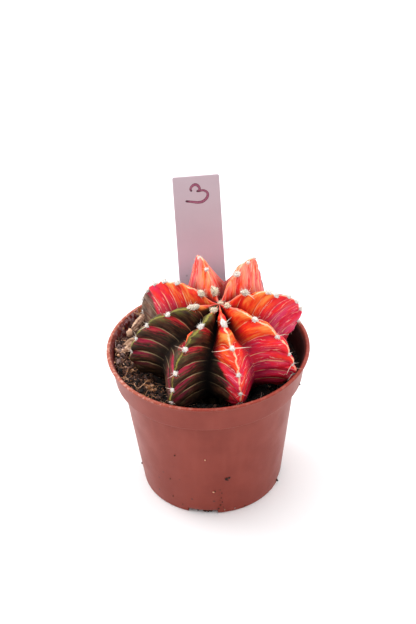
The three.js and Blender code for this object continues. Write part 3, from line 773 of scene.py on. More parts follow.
def faceTints(rib, number, side, along, t, band, spacing):
    # Dark green share, ripeness from orange to crimson, and the strength of the lines or bands
    where = triple(along, 5 * t, number * 11.0)
    slow = softNoise(where, 4.0, 4)
    quick = softNoise(where * [1, 0.3, 1], 0.9, 11)
    start, end = rib["turns"]
    perBand = hashOf(triple(np.floor(band), 0, number).astype(np.int64), 5) - 0.5
    # the colour turns at the furrows rather than between them
    stepped = along - 0.5 * (band % 1 - 0.5) * spacing
    ripe = 0.3 + 0.36 * smooth(stepped, start, end) + 0.12 * smooth(along, 24, 32)
    ripe += 0.18 * smooth(t, 0.35, 1)
    # yellower patches between the furrows, near the crest
    patches = smooth(softNoise(where, 2.2, 21), -0.5, 0.4)
    peak = np.sin(np.pi * (band % 1)) * smooth(along, 7, 12) * patches
    ripe += 0.14 * slow + 0.1 * perBand - 0.24 * peak * np.exp(-((t / 0.5) ** 2))
    ripe -= 0.06 * np.exp(-t / 0.08)
    ripe += 0.25 * (1 - smooth(along, 1.0, 6.0)) - 0.05 * rib["bloom"]
    first = rib["olive"][side > 0]
    later = rib["slant"][side > 0] * t
    olive = smooth(along + 1.5 * slow + 1.3 * quick - later, first - 0.7, first + 0.7)
    if first < plant["crownGreen"]:
        olive = np.maximum(olive, smooth(t + 0.1 * slow, 0.1, 0.3) * smooth(along, 0.5, 2))
    if side < 0 and "greenFrom" in rib:
        limit = between(*rib["greenFrom"], smooth(along, 18, 32))
        olive = olive * smooth(t + 0.1 * slow + 0.1 * quick, limit - 0.04, limit + 0.04)
    if side < 0 and "redPatch" in rib:
        high, low = rib["redPatch"]
        patch = smooth(along, high, high + 1.2) * smooth(along, low, low - 1.6)
        patch = patch * smooth(t, 0.04, 0.1) * smooth(t, 0.5, 0.3)
        olive = olive * (1 - patch)
        ripe = ripe * (1 - patch) + 0.34 * patch
    begin, stop = rib["marks"]
    marks = smooth(along + 2 * slow, begin - 2, begin + 3)
    marks = marks * (1 - smooth(along + slow, stop - 1, stop + 1)) * (1 - smooth(along, 33, 35.5))
    return triple(olive, np.clip(ripe, 0, 1), marks)


def valleyShade(paintedShade, along, t):
    # Painted shade towards the valley, deepest and widest by the crown, and painted shade on the foot
    # down in the pot
    upper, lower = paintedShade
    near = 1 - smooth(along, 7, 15)
    depth = between(between(upper, lower, smooth(along, 14, 28)), 1, near)
    valley = depth * smooth(t, 0.42 - 0.14 * near, 0.98 - 0.2 * near)
    return np.maximum(valley, 0.75 * smooth(along, 33, 39))


def cornersOf(grid):
    # What the four corners of each cell of a grid hold
    return np.stack([grid[:-1, :-1], grid[1:, :-1], grid[1:, 1:], grid[:-1, 1:]], 2)


def makeBody(material):
    # Two faces to a rib, each a grid of share along the rib by share from crest to valley, side by
    # side round the plant and closed on a pole in the crown and one under the root. Each face gives
    # its own values to its corners, because they jump where two faces meet.
    columns = plant["columns"]
    around = 2 * len(ribs) * columns
    t = (np.arange(columns + 1) / columns) ** 1.5
    s = np.append(np.linspace(0.004, 0.72, 280), np.linspace(0.72, 1, 21)[1:])
    points = np.zeros((len(s), around, 3))
    quads = []
    fields = {"bands": [], "crest": [], "tints": [], "shade": []}
    tops = {name: [] for name in fields}
    feet = {name: [] for name in fields}
    for k, rib in enumerate(ribs):
        previous, following = ribs[k - 1], ribs[(k + 1) % len(ribs)]
        valleys = {-1: valleyPoint(previous, rib, s), 1: valleyPoint(rib, following, s)}
        for side in (-1, 1):
            strip = 2 * k + (side > 0)
            face, band, spacing, arched, away = facePoints(rib, valleys[side], side, t, s, strip)
            # painted shade: darker towards the valleys and on the foot
            paintedShade = valleyShade((rib if side > 0 else previous)["paintedShade"], arched, t)
            marks = {"bands": triple(band, t, spacing),
                     "crest": triple(side * away, arched, strip),
                     "tints": faceTints(rib, strip, side, arched, t, band, spacing),
                     "shade": triple(paintedShade, rib["bloom"], rib["lilac"] * smooth(arched, 17, 27))}
            index = (strip * columns + np.arange(columns + 1)) % around
            points[:, index] = face[:, ::side]
            quads.append(cornersOf(np.arange(len(s))[:, None] * around + index))
            for name, values in marks.items():
                values = values[:, ::side]
                fields[name].append(cornersOf(values))
                first, last = values[0], values[-1]
                tops[name].append(np.stack([first[:-1], first[:-1], first[1:]], 1))
                feet[name].append(np.stack([last[:-1], last[1:], last[:-1]], 1))
    x, y = plant["centre"]
    poles = [[x, y, potHeight + crownHeight], [x, y, potHeight - plant["rootDepth"] - 1.4]]
    for name in fields:
        blocks = fields[name] + tops[name] + feet[name]
        fields[name] = np.concatenate([block.reshape(-1, 3) for block in blocks])
    faces = [np.concatenate([block.reshape(-1, 4) for block in quads]), closedGrid(len(s), around)[1]]
    makePiece("cactus_body", np.vstack([points.reshape(-1, 3), poles]), faces, material,
              ["cactus"], fields)


skin = {
    # ripe skin, from orange to crimson, and what lies on it
    "ripe": [(0.0, (255, 146, 72)), (0.18, (252, 98, 44)), (0.34, (242, 56, 34)), (0.54, (234, 34, 48)),
             (0.78, (218, 30, 70)), (1.0, (176, 24, 70))],
    "furrow": (214, 12, 10), "ripeFurrow": (176, 8, 34), "hairline": (252, 192, 150),
    "bloom": (255, 206, 190), "lilac": (226, 80, 126), "cream": (250, 180, 164), "pink": (236, 118, 134),
    # green skin, from its darkest, and what lies on it
    "green": [(0.14, (24, 13, 10)), (0.42, (56, 38, 26)), (0.62, (86, 64, 40)), (0.9, (128, 108, 66))],
    "ashen": (146, 116, 100), "blush": (112, 44, 38), "leafy": (92, 90, 34),
    "upperBand": (206, 40, 46), "band": (176, 34, 72), "lowerBand": (84, 14, 36),
    "bandShade": (100, 8, 26), "upperPale": (208, 138, 96), "pale": (188, 166, 126),
    # both, with the colours of the painted shade in the valleys and on the foot
    "ripeShadeColour": (66, 8, 8), "greenShadeColour": (9, 5, 4), "shine": (255, 200, 170),
    "upperCrest": (252, 206, 170), "crest": (230, 128, 110), "greenCrest": (140, 134, 58),
    "roughness": 0.44, "specular": 0.16, "subsurface": 0.1, "subsurfaceDepths": (0.8, 0.3, 0.2),
}


def cactusSkin():
    # Orange to crimson ribs with red furrows and cream lines; dark green ribs with magenta bands
    material, shader, place = finish("cactus skin")
    band, t, spacing = field(place, "bands")
    away, along, strip = field(place, "crest")
    olive, ripe, marks = field(place, "tints")
    paintedShade, bloom, lilac = field(place, "shade")
    fine = grainOn(place, 0.5)
    slow = grainOn(place, 2.4)
    aside = strip * 9.7
    # along the rib and across it, each face elsewhere in the noise; drawn runs with the bands
    flat = joined(along, away * 0.5, aside)
    drawn = joined(along * 2.0, away * 0.3, aside)
    wave = noise(flat, 0.7, 3.0) - 0.5
    phase = calc("FRACT", wave * 0.12 + band)
    below = phase * spacing
    furrow = calc("MINIMUM", below, spacing - below)
    fibre = noise(drawn, 0.9, 4.0, 0.65) - 0.5
    fromCrest = abs(away)

    # ripe skin
    shift = (0.42 - phase) * 0.2
    mottle = (noise(flat, 0.5, 4.0, 0.6) - 0.5) * 1.1
    ripeness = ripe + shift + (fibre * 0.6 + mottle)
    warm = ramp(ripeness, skin["ripe"])
    red = fade(abs(below - 0.5), 1.1, 0.15)
    red = calc("MAXIMUM", red, fade(furrow, 0.8, 0.1)) * fade(fromCrest, 0.1, 0.9)
    red = red * fade(noise(flat, 0.3, 2.0), 0.35, 0.6) * fade(spacing, 2.4, 5.5)
    redColour = mixed(fade(ripe, 0.35, 0.6), skin["furrow"], skin["ripeFurrow"])
    warm = mixed(red * 0.8, warm, redColour)
    hairline = fade(abs(below - 0.1), 0.18, 0.06) * fade(t, 0.15, 0.35)
    broken = fade(noise(flat, 0.35, 2.0), 0.36, 0.5)
    warm = mixed(hairline * broken, warm, skin["hairline"])
    pale = fade(noise(flat, 0.42, 4.0, 0.6), 0.38, 0.6)
    warm = mixed(pale * bloom, warm, skin["bloom"])
    patchy = fade(noise(flat, 0.35, 3.0, 0.6), 0.4, 0.62)
    warm = mixed(patchy * lilac, warm, skin["lilac"])
    # cream lines: contours of the distance along the rib, pushed about by noise
    push = noise(flat, 0.5, 3.0, 0.6) * 2.6
    contour = calc("FRACT", along * 0.9 + push)
    line = fade(abs(contour - 0.5), 0.11, 0.03)
    shown = fade(noise(joined(along, away * 0.42, aside), 0.6, 3.0), 0.48, 0.58)
    line = line * shown * marks * fade(fromCrest, 0.1, 0.6)
    warm = mixed(line * 0.85, warm, skin["cream"])
    pink = fade(fibre, 0.0, 0.2) * marks * fade(ripe, 0.3, 0.7)
    warm = mixed(pink * 0.5, warm, skin["pink"])

    # green skin
    tone = noise(flat, 0.8, 4.0, 0.65) - phase * 0.14 + fibre * 1.1
    dark = ramp(tone, skin["green"])
    ashen = fade(abs(strip - plant["ashenStrip"]), 0.5, 0.2)
    ashen = ashen * fade(noise(flat, 0.5, 4.0, 0.6), 0.3, 0.65)
    dark = mixed(ashen * 0.8, dark, skin["ashen"])
    blush = fade(noise(joined(along, away * 0.3, aside), 0.45, 3.0), 0.45, 0.7)
    dark = mixed(blush * 0.4, dark, skin["blush"])
    leafy = fade(fromCrest, 2.4, 0.2) * fade(along, 26.0, 16.0) * fade(noise(flat, 0.7, 3.0), 0.3, 0.6)
    dark = mixed(leafy * 0.75, dark, skin["leafy"])
    width = fade(t, -0.04, 0.07) * fade(t, 0.95, 0.2) * (spacing * 0.16 + 0.45)
    ragged = fibre * 2.0 + (below - width)
    stripe = fade(ragged, 0.4, -0.3)
    streak = fade(abs(ragged - 0.75), 0.22, 0.05) * 0.7
    stripe = calc("MAXIMUM", stripe, streak) * fade(t, 0.85, 0.5) * marks
    magenta = mixed(fade(along, 14.0, 30.0), skin["upperBand"], skin["band"])
    magenta = mixed(fade(fibre, 0.08, -0.16), magenta, skin["bandShade"])
    magenta = mixed(fade(along, 27.0, 36.0), magenta, skin["lowerBand"])
    dark = mixed(stripe * 0.92, dark, magenta)
    pale = fade(fibre * 0.3 + furrow, 0.26, 0.08) * fade(t, 0.1, 0.45)
    paleColour = mixed(fade(along, 8.0, 24.0), skin["upperPale"], skin["pale"])
    dark = mixed(pale * 0.9, dark, paleColour)

    base = mixed(olive, warm, dark)
    # painted shade: darker towards the valleys, most by the crown, and on the foot
    base = mixed(paintedShade, base, mixed(olive, skin["ripeShadeColour"], skin["greenShadeColour"]))
    # crest line
    wiggle = noise(joined(along, strip, 0.0), 1.3, 2.0) - 0.5
    edge = abs(wiggle * 0.6 + away)
    warmEdge = mixed(fade(along, 6.0, 10.0), skin["crest"], skin["upperCrest"])
    edgeColour = mixed(olive, warmEdge, skin["greenCrest"])
    thin = fade(along, 9.0, 5.0) * 0.22 + 0.17
    bare = fade(edge, thin, 0.05) * fade(noise(flat, 0.25, 1.0), 0.3, 0.55)
    base = mixed(bare * 0.9, base, edgeColour)
    base = mixed(fine["Tone"] * 0.12, base, skin["shine"], "SOFT_LIGHT")
    rough = calc("MAXIMUM", slow["Tone"] * 0.12 + skin["roughness"], paintedShade)
    height = fibre * 1.6 + line * 0.5 + fine["Height"]
    feed(shader, {"Base Color": base, "Roughness": rough, "Specular IOR Level": skin["specular"],
                  "Subsurface Weight": skin["subsurface"], "Subsurface Scale": 1.0,
                  "Subsurface Radius": [depth * mm for depth in skin["subsurfaceDepths"]],
                  "Normal": relief(height, 0.07, 0.6)})
    return material


def areoleFrames():
    # Each areole's place, the directions across, down and out of its rib, and how far down it is;
    # the last is the one in the crown
    rows = []
    for rib in ribs:
        run = np.array(rib["areoles"])
        s = run / crestLine["length"]
        down = unit(crestPoint(rib, s + 0.012) - crestPoint(rib, s - 0.012))
        across = asideOf(rib, s)
        out = unit(np.cross(down, across))
        rows.append(np.column_stack([crestPoint(rib, s), across, down, out, run]))
    x, y = plant["centre"]
    crown = (x + 0.4, y + 0.4, potHeight + crownHeight - 0.1)
    rows.append([[*crown, *(0, 1, 0), *(1, 0, 0), *(0, 0, 1), 2]])
    return np.split(np.concatenate(rows), [3, 6, 9, 12], axis=1)


def areoleNumber(rib, areole):
    # Where the areole stands among those of all ribs
    return sum(len(earlier["areoles"]) for earlier in ribs[:rib]) + areole


woolPads = {
    # radius by distance along the rib; rib and areole of the pads that differ, and by how much
    "at": (2, 3.3, 8, 11, 14, 20, 26, 36),
    "radius": (0.72, 0.9, 0.97, 0.84, 0.7, 0.64, 0.54, 0.42),
    "bare": (4, 5), "bareRadius": 0.2, "broad": (2, 0), "broadRadius": 1.05,
    "small": [(1, 1), (1, 2), (2, 1)], "smaller": 0.7, "tall": [(6, 0), (2, 0), (4, 0)], "taller": 1.3,
    "hairs": 70, "hairRadii": (0.05, 0.045, 0.03, 0.012), "seed": 8,
    "innerColour": (242, 222, 184), "outerColour": (242, 236, 230), "brownColour": (134, 86, 52),
    "greyColour": (160, 148, 142), "paleColour": (255, 250, 240),
}
# a direction that no hair and no spine runs along
strandUpward = (0.31, 0.22, 0.92)


def makeWool(material):
    # A lumpy pad on each areole, with hairs all over it that start along a random direction and bend
    # aside with the square of the share of their length
    random = np.random.default_rng(woolPads["seed"])
    place, across, down, out, run = areoleFrames()
    run = run[:, 0]
    radius = np.interp(run, woolPads["at"], woolPads["radius"])
    radius[areoleNumber(*woolPads["bare"])] = woolPads["bareRadius"]
    radius[areoleNumber(*woolPads["broad"])] = woolPads["broadRadius"]
    radius[[areoleNumber(*which) for which in woolPads["small"]]] *= woolPads["smaller"]
    bases = np.stack([across, -down, out], -1)
    template = ballTemplate(16, 11)
    scales = radius[:, None] * np.array([0.95, 1.15, 0.8])
    scales[[areoleNumber(*which) for which in woolPads["tall"]], 1] *= woolPads["taller"]
    pads, padFaces = scatter(template, place + out * 0.12, bases, scales, 0.12, random, 0.42)
    hairs, steps, sides = woolPads["hairs"], len(woolPads["hairRadii"]), 3
    lean = unit(random.normal(size=(len(place), hairs, 3)) * [0.75, 0.75, 0.35] + [0, 0, 0.65])
    way = np.einsum("nij,nkj->nki", bases, lean)
    root = place[:, None] + np.einsum("nij,nkj->nki", bases, lean * scales[:, None]) * 0.6
    length = radius[:, None] * (0.5 + 0.45 * random.random((len(place), hairs)))
    bend = random.normal(size=way.shape) * 0.45
    u = np.linspace(0, 1, steps)[:, None]
    paths = root[:, :, None] + length[..., None, None] * (way[:, :, None] * u + bend[:, :, None] * u**2)
    paths = paths.reshape(-1, steps, 3)
    taper = np.tile(woolPads["hairRadii"], (len(paths), 1))
    strands, strandFaces = sweep(paths, taper, taper, strandUpward, sides)
    share = np.clip(run / 20, 0, 1)
    share = np.append(np.repeat(share, len(template[0])), np.repeat(share, hairs * steps * sides))
    faces = padFaces + [block + len(pads) for block in strandFaces]
    makePiece("areole_wool", np.vstack([pads, strands]), faces, material, ["cactus"],
              {"tone": triple(share, random.random(len(share)), 0)})


def wool():
    # Creamy felt, browner near the crown, with paler hairs
    material, shader, place = finish("areole wool")
    share, chance, rest = field(place, "tone")
    fine = grainOn(place, 0.35)
    base = mixed(fade(share, 0.2, 0.6), woolPads["innerColour"], woolPads["outerColour"])
    # brown in the felt's hollows near the crown: partly browner felt, partly painted shade
    brown = fade(fine["Height"], 0.8, 0.58) * fade(share, 0.9, 0.2)
    base = mixed(brown * 0.7, base, woolPads["brownColour"])
    grey = fade(fine["Tone"], 0.6, 0.2) * 0.35
    base = mixed(grey, base, woolPads["greyColour"])
    base = mixed(chance * 0.3, base, woolPads["paleColour"])
    feed(shader, {"Base Color": base, "Roughness": fade(fine["Tone"], -2.0, 1.2), "Sheen Weight": 0.4,
                  "Normal": relief(fine["Height"], 0.12, 0.8)})
    return material


spines = {
    # the short ones: half thickness, shortest and longest; and how far any of them bends
    "thick": 0.06, "length": (1.0, 2.2), "bend": 0.14, "seed": 9,
    # how far they stay from the pot's wall, the soil and the label
    "offWall": 0.6, "offSoil": 0.8, "offLabel": 1.2,
    "colour": (226, 208, 190), "tipColour": (176, 140, 112), "paleColour": (244, 234, 224),
    "darkColour": (58, 34, 28),
    # the ones that stand out, by kind with its thickness and darkness: rib, areole, how far they
    # point across, down and out of the rib, length
    "stout": (0.17, 0, [(6, 1, -0.99, 0.05, 0.15, 5.6), (6, 1, 0.89, 0.14, 0.43, 5.2)]),
    "long": (0.12, 0, [
        (7, 1, -0.29, 0.65, 0.7, 4.0), (7, 2, 0.13, 0.13, 0.98, 3.75), (7, 4, -0.98, 0.15, 0.15, 4.25),
        (7, 5, -0.9, 0.0, 0.43, 3.5), (7, 5, 0.0, -0.92, 0.38, 3.75), (0, 0, -0.9, 0.4, 0.18, 5.25),
        (0, 1, 0.1, 0.85, 0.5, 3.4), (1, 0, 0.4, 0.79, 0.46, 3.75), (5, 2, -0.36, 0.14, 0.92, 4.0),
        (5, 3, -0.06, 0.27, 0.96, 3.75), (4, 3, 0.04, -0.81, 0.59, 3.75), (4, 2, 0.54, 0.49, 0.68, 3.75),
        (3, 4, -0.47, -0.81, 0.35, 4.0), (6, 0, 0.54, 0.09, 0.84, 3.75),
        (5, 4, -0.38, -0.46, 0.8, 2.6), (4, 0, 0.68, 0.68, 0.27, 3.0), (4, 0, 0.44, -0.17, 0.88, 3.0)]),
    "fine": (0.08, 0, [
        (1, 0, 0.1, -0.3, 0.95, 3.0), (0, 1, 0.3, 0.3, 0.9, 2.4), (0, 5, 0.2, -0.3, 0.9, 2.8),
        (0, 6, -0.2, 0.4, 0.9, 2.4), (3, 3, 0.3, 0.2, 0.93, 3.2), (3, 3, -0.3, 0.5, 0.8, 3.4),
        (3, 4, 0.2, 0.1, 0.95, 2.6), (3, 1, 0.2, -0.2, 0.95, 2.0), (1, 2, 0.1, 0.3, 0.9, 2.0)]),
    "dark": (0.1, 1, [
        (2, 0, 0.47, 0.07, 0.88, 2.6), (2, 0, 0.47, -0.65, 0.59, 2.8), (2, 0, -0.5, 0.3, 0.8, 2.0),
        (7, 0, -0.3, -0.5, 0.8, 1.8), (5, 0, 0.4, -0.6, 0.7, 1.8)]),
}


def keptClear(points):
    # Moves spine points clear of the pot's wall and rim, the soil and the label
    x, y, z = np.moveaxis(points, -1, 0)
    low = z < potHeight + 0.7
    most = np.where(low, np.minimum(1, (wallRadius(z) - spines["offWall"]) / np.hypot(x, y)), 1)
    x, y = x * most, y * most
    z = np.where(low, np.maximum(z, soilTop(x, y) + spines["offSoil"]), z)
    front = label["y"] - spines["offLabel"] + (z - potHeight) * np.tan(np.radians(label["back"]))
    near = np.abs(x - label["x"]) < label["width"] / 2 + 1.0
    return triple(x, np.where(near, np.minimum(y, front), y), z)


def makeSpines(material):
    # Slender cones: three short random ones from each areole, to both sides and down the rib, and the
    # ones that stand out. Each is bent by u times 1 - u, so that its tip stays where it points.
    random = np.random.default_rng(spines["seed"])
    place, across, down, out = (part[:-1] for part in areoleFrames()[:4])
    numbers = np.arange(len(place))[:, None]
    rows = []
    for sideways, downward in ((1, 0.15), (-1, 0.15), (0.1, 1)):
        pointing = np.array([sideways, downward, 0.6]) + 0.4 * (random.random((len(place), 3)) - 0.5)
        length = between(*spines["length"], random.random((len(place), 1)))
        thick, darkness = np.full(length.shape, spines["thick"]), np.zeros(length.shape)
        rows.append(np.hstack([numbers, unit(pointing), length, thick, darkness]))
    for kind in ("stout", "long", "fine", "dark"):
        thick, darkness, chosen = spines[kind]
        for rib, areole, *rest in chosen:
            rows.append([(areoleNumber(rib, areole), *rest, thick, darkness)])
    at, a, d, o, length, thick, darkness = np.vstack(rows).T[..., None]
    at = at[:, 0].astype(int)
    way = unit(across[at] * a + down[at] * d + out[at] * o)
    steps, sides = 9, 6
    u = np.linspace(0, 1, steps)[:, None]
    bend = (spines["bend"] * random.normal(size=way.shape) - 0.05 * out[at])[:, None] * u * (1 - u)
    paths = (place + out * 0.2)[at][:, None] + length[..., None] * (way[:, None] * u + bend)
    taper = thick * (1 - 0.85 * u[:, 0]) ** 0.8
    points, faces = sweep(keptClear(paths), taper, taper, strandUpward, sides)
    tones = np.repeat(triple(u[:, 0], darkness, 0).reshape(-1, 3), sides, 0)
    makePiece("spines", points, faces, material, ["cactus"], {"tone": tones})


def spineHorn():
    # Pale horn that darkens to the tip; the dark ones are brown throughout
    material, shader, place = finish("spine horn")
    tip, dark, rest = field(place, "tone")
    fine = grainOn(place, 0.3)
    base = mixed(fade(tip, 0.5, 1.0), spines["colour"], spines["tipColour"])
    base = mixed(fine["Tone"] * 0.3, base, spines["paleColour"])
    base = mixed(dark, base, spines["darkColour"])
    feed(shader, {"Base Color": base, "Roughness": fade(fine["Tone"], -1.2, 2.2),
                  "Normal": relief(fine["Height"], 0.02, 0.4)})
    return material


soil = {
    "level": 36.4, "rise": 1.9, "riseOver": 24, "towards": 165, "gap": 0.3, "heap": 1.2,
    "bank": 2.2, "bankTowards": 198, "lumps": 0.75, "grit": 0.34, "columns": 400, "rings": 96,
    # its outer radius in the pot's collar and in the body below, and radius and height of its underside
    "inCollar": 24.2, "inBody": 22.55, "underLedge": 22.5,
    "underside": [(18.6, 3.1), (17.9, 2.6), (9.0, 2.6), (8.0, 1.1)],
    "colours": [(0.0, (9, 5, 4)), (0.2, (44, 24, 18)), (0.38, (108, 67, 50)), (0.54, (140, 120, 118)),
                (0.72, (188, 118, 58)), (0.98, (236, 190, 158))],
    "crumbs": 2500, "fibres": 1100, "stuck": 110, "onLedge": 800, "bitsPerClod": 46, "seed": 31,
    # where they lie: reach of the loose ones; least value and range of the height of the stuck ones
    # and of the reach of those on the ledge
    "looseReach": 25.4, "stuckHeight": (39.5, 3.4), "ledgeReach": (22.9, 1.5),
    # bigger stones: x, y, height above the soil, radius, tone as a place among the colours
    "stones": [(-21.5, 9.1, 2.3, 0.92, 1.04), (-24.1, 3.3, 0.6, 0.75, 0.53),
               (-24.0, 1.0, 0.4, 0.8, 0.56), (-23.2, -0.4, 0.3, 0.7, 0.52),
               (-24.3, -0.9, 0.2, 0.5, 0.85), (-13.4, -2.1, 0.5, 0.66, 1.0),
               (-15.3, -4.5, 0.2, 0.5, 0.36), (-17.5, -2.2, 0.3, 0.4, 0.97),
               (-16.2, -10.4, 0.9, 0.62, 0.74), (-17.4, -10.2, 0.7, 0.6, 0.7),
               (-15.2, -11.0, 0.7, 0.55, 0.76), (-16.9, -11.2, 0.6, 0.5, 0.86),
               (-19.6, -6.5, 0.2, 0.45, 0.4), (-21.3, -4.2, 0.2, 0.4, 0.44),
               (-22.1, -7.2, 0.3, 0.5, 0.34), (-21.3, 9.7, 2.7, 0.6, 0.98)],
    # clods of peat: x, y, height above the soil, radius, tone
    "clods": [(-22.7, 6.6, 0.3, 1.2, 0.16), (-24.0, 5.2, 0.2, 1.1, 0.16), (-21.2, 8.8, 0.3, 1.0, 0.18),
              (-22.6, 8.6, 0.3, 1.0, 0.16), (-23.6, -0.6, 0.1, 1.1, 0.2), (-22.3, -1.6, 0.1, 0.9, 0.2),
              (-24.4, -3.0, 0.0, 0.8, 0.18), (-20.2, 13.2, 0.1, 1.0, 0.1),
              (-16.3, -10.5, 0.7, 1.3, 0.6), (-19.5, -8.5, 0.1, 1.3, 0.16),
              (-21.8, -5.6, 0.2, 1.2, 0.14), (-18.4, -3.8, 0.1, 1.1, 0.16),
              (-13.4, -15.2, 0.1, 1.1, 0.14)],
}


def soilTop(x, y):
    # A slope heaped up to the left, with slow and quick waves
    way = np.radians(soil["towards"])
    slope = soil["rise"] * (x * np.cos(way) + y * np.sin(way)) / soil["riseOver"]
    lumps = 0.32 * np.sin(0.62 * x + 1.3) * np.cos(0.55 * y - 0.4)
    crumbs = 0.2 * np.sin(1.45 * x - 0.8 * y) * np.cos(1.2 * y + 0.9 * x)
    return soil["level"] + slope + lumps + crumbs


def hollow(x, y):
    # Height of the hollow that the plant sits in: a turned shape just outside its ribs
    line = pointAt(crestLine, np.linspace(1, 0.62, 40))
    clear = line[:, 0] * 1.04 + 2 * soil["gap"]
    height = potHeight + line[:, 1] - plant["lean"] * line[:, 0] - 3 * soil["gap"]
    reach = np.hypot(x - plant["centre"][0], y - plant["centre"][1])
    bottom = potHeight - plant["rootDepth"] - 1.9
    return np.interp(reach, clear, height, left=bottom, right=potHeight + 3)


def heapShare(x, y):
    # 1 on the side that the soil is heaped towards, 0 on the other three sides
    way = np.radians(soil["towards"])
    return smooth((x * np.cos(way) + y * np.sin(way)) / np.maximum(np.hypot(x, y), 1), 0.15, 0.9)


def clodNoise(x, y):
    # Rounded clods with sharp creases between them: the sizes of two noises, from 0 to about 1
    where = triple(x, y, 0)
    return np.abs(softNoise(where, 2.1, 6)) + 0.45 * np.abs(softNoise(where, 0.9, 7))


def soilHeight(x, y):
    # The CAD surface with a heap on one side and a bank against the wall, clods and grit, cut down
    # where the plant's hollow lies
    reach = np.hypot(x, y)
    way = np.radians(soil["bankTowards"])
    facing = (x * np.cos(way) + y * np.sin(way)) / np.maximum(reach, 1)
    heap = soil["heap"] * heapShare(x, y) * smooth(reach, 18, 23.5)
    heap += soil["bank"] * smooth(facing, 0.72, 0.94) * smooth(reach, 19, 25)
    lumps = soil["lumps"] * (clodNoise(x, y) - 0.4) + soil["grit"] * softNoise(triple(x, y, 0), 0.5, 12)
    return np.minimum(soilTop(x, y) + heap + lumps, hollow(x, y))


def frontShadeShare(x, y):
    # 1 along the wall at the front, where painted shade darkens the soil
    reach = np.maximum(np.hypot(x, y), 1)
    return smooth(reach, 21, 23.2) * smooth(-y / reach, 0.25, 0.6)


def makeSoil(material):
    # Rings from the middle to the wall at the soil's height, then down the sides and under the bottom
    columns, wide, narrow = soil["columns"], soil["inCollar"], soil["inBody"]
    angle = 2 * np.pi * np.arange(columns) / columns
    share = np.append([0.08, 0.16, 0.24, 0.3], np.linspace(0.36, 1, soil["rings"]))[:, None]
    x, y = wide * np.cos(angle), wide * np.sin(angle)
    overLedge = smooth(soilTop(x, y), ledge + 0.3, ledge + 0.9)
    outer = between(narrow, wallRadius(soilHeight(x, y)) - 0.32, overLedge)
    top = onRing(share * outer, angle)
    top[..., 2] = soilHeight(top[..., 0], top[..., 1])
    low = top[-1, :, 2] - 0.25
    shelf = between(low, np.minimum(ledge + 0.38, low), overLedge)
    sides = [onRing(between(narrow, wide, overLedge), angle, shelf)]
    sides += [onRing(soil["underLedge"], angle, shelf - 0.12)]
    sides += [onRing(radius, angle, height) for radius, height in soil["underside"]]
    rows = np.concatenate([top, sides])
    poles = [[0, 0, soilHeight(0.0, 0.0)], [0, 0, soil["underside"][-1][1]]]
    points = np.vstack([rows.reshape(-1, 3), poles])
    x, y = points[:, :2].T
    # lighter clods on the heaped side with painted shade in their creases; darker elsewhere, partly
    # painted shade
    tone = heapShare(x, y) * (0.44 * clodNoise(x, y) - 0.1) + 0.08 * softNoise(points, 1.3, 8) - 0.02
    # painted shade along the front wall
    tone -= 0.15 * frontShadeShare(x, y)
    makePiece("soil_body", points, closedGrid(len(rows), columns), material, ["soil"],
              {"tone": tone})


def openPlaces(count, random, spare, elsewhere):
    # Random places on the soil that the plant's hollow and the pot's wall leave free, most of them
    # on the heaped side
    way = random.random(count * 6) * 2 * np.pi
    reach = soil["looseReach"] * np.sqrt(0.22 + 0.78 * random.random(count * 6))
    places = onRing(reach, way)
    x, y = places[:, 0], places[:, 1]
    places[:, 2] = soilHeight(x, y)
    free = (hollow(x, y) > soilTop(x, y) - 1.2) & (reach + spare < wallRadius(places[:, 2]) - 0.25)
    free &= random.random(len(x)) < between(elsewhere, 1, heapShare(x, y))
    return places[free][:count]


def drawIn(points, spare):
    # Moves points that are nearer to the pot's wall than that straight towards the axis
    reach = np.hypot(points[..., 0], points[..., 1])
    points[..., :2] *= np.minimum(1, (wallRadius(points[..., 2]) - spare) / reach)[..., None]


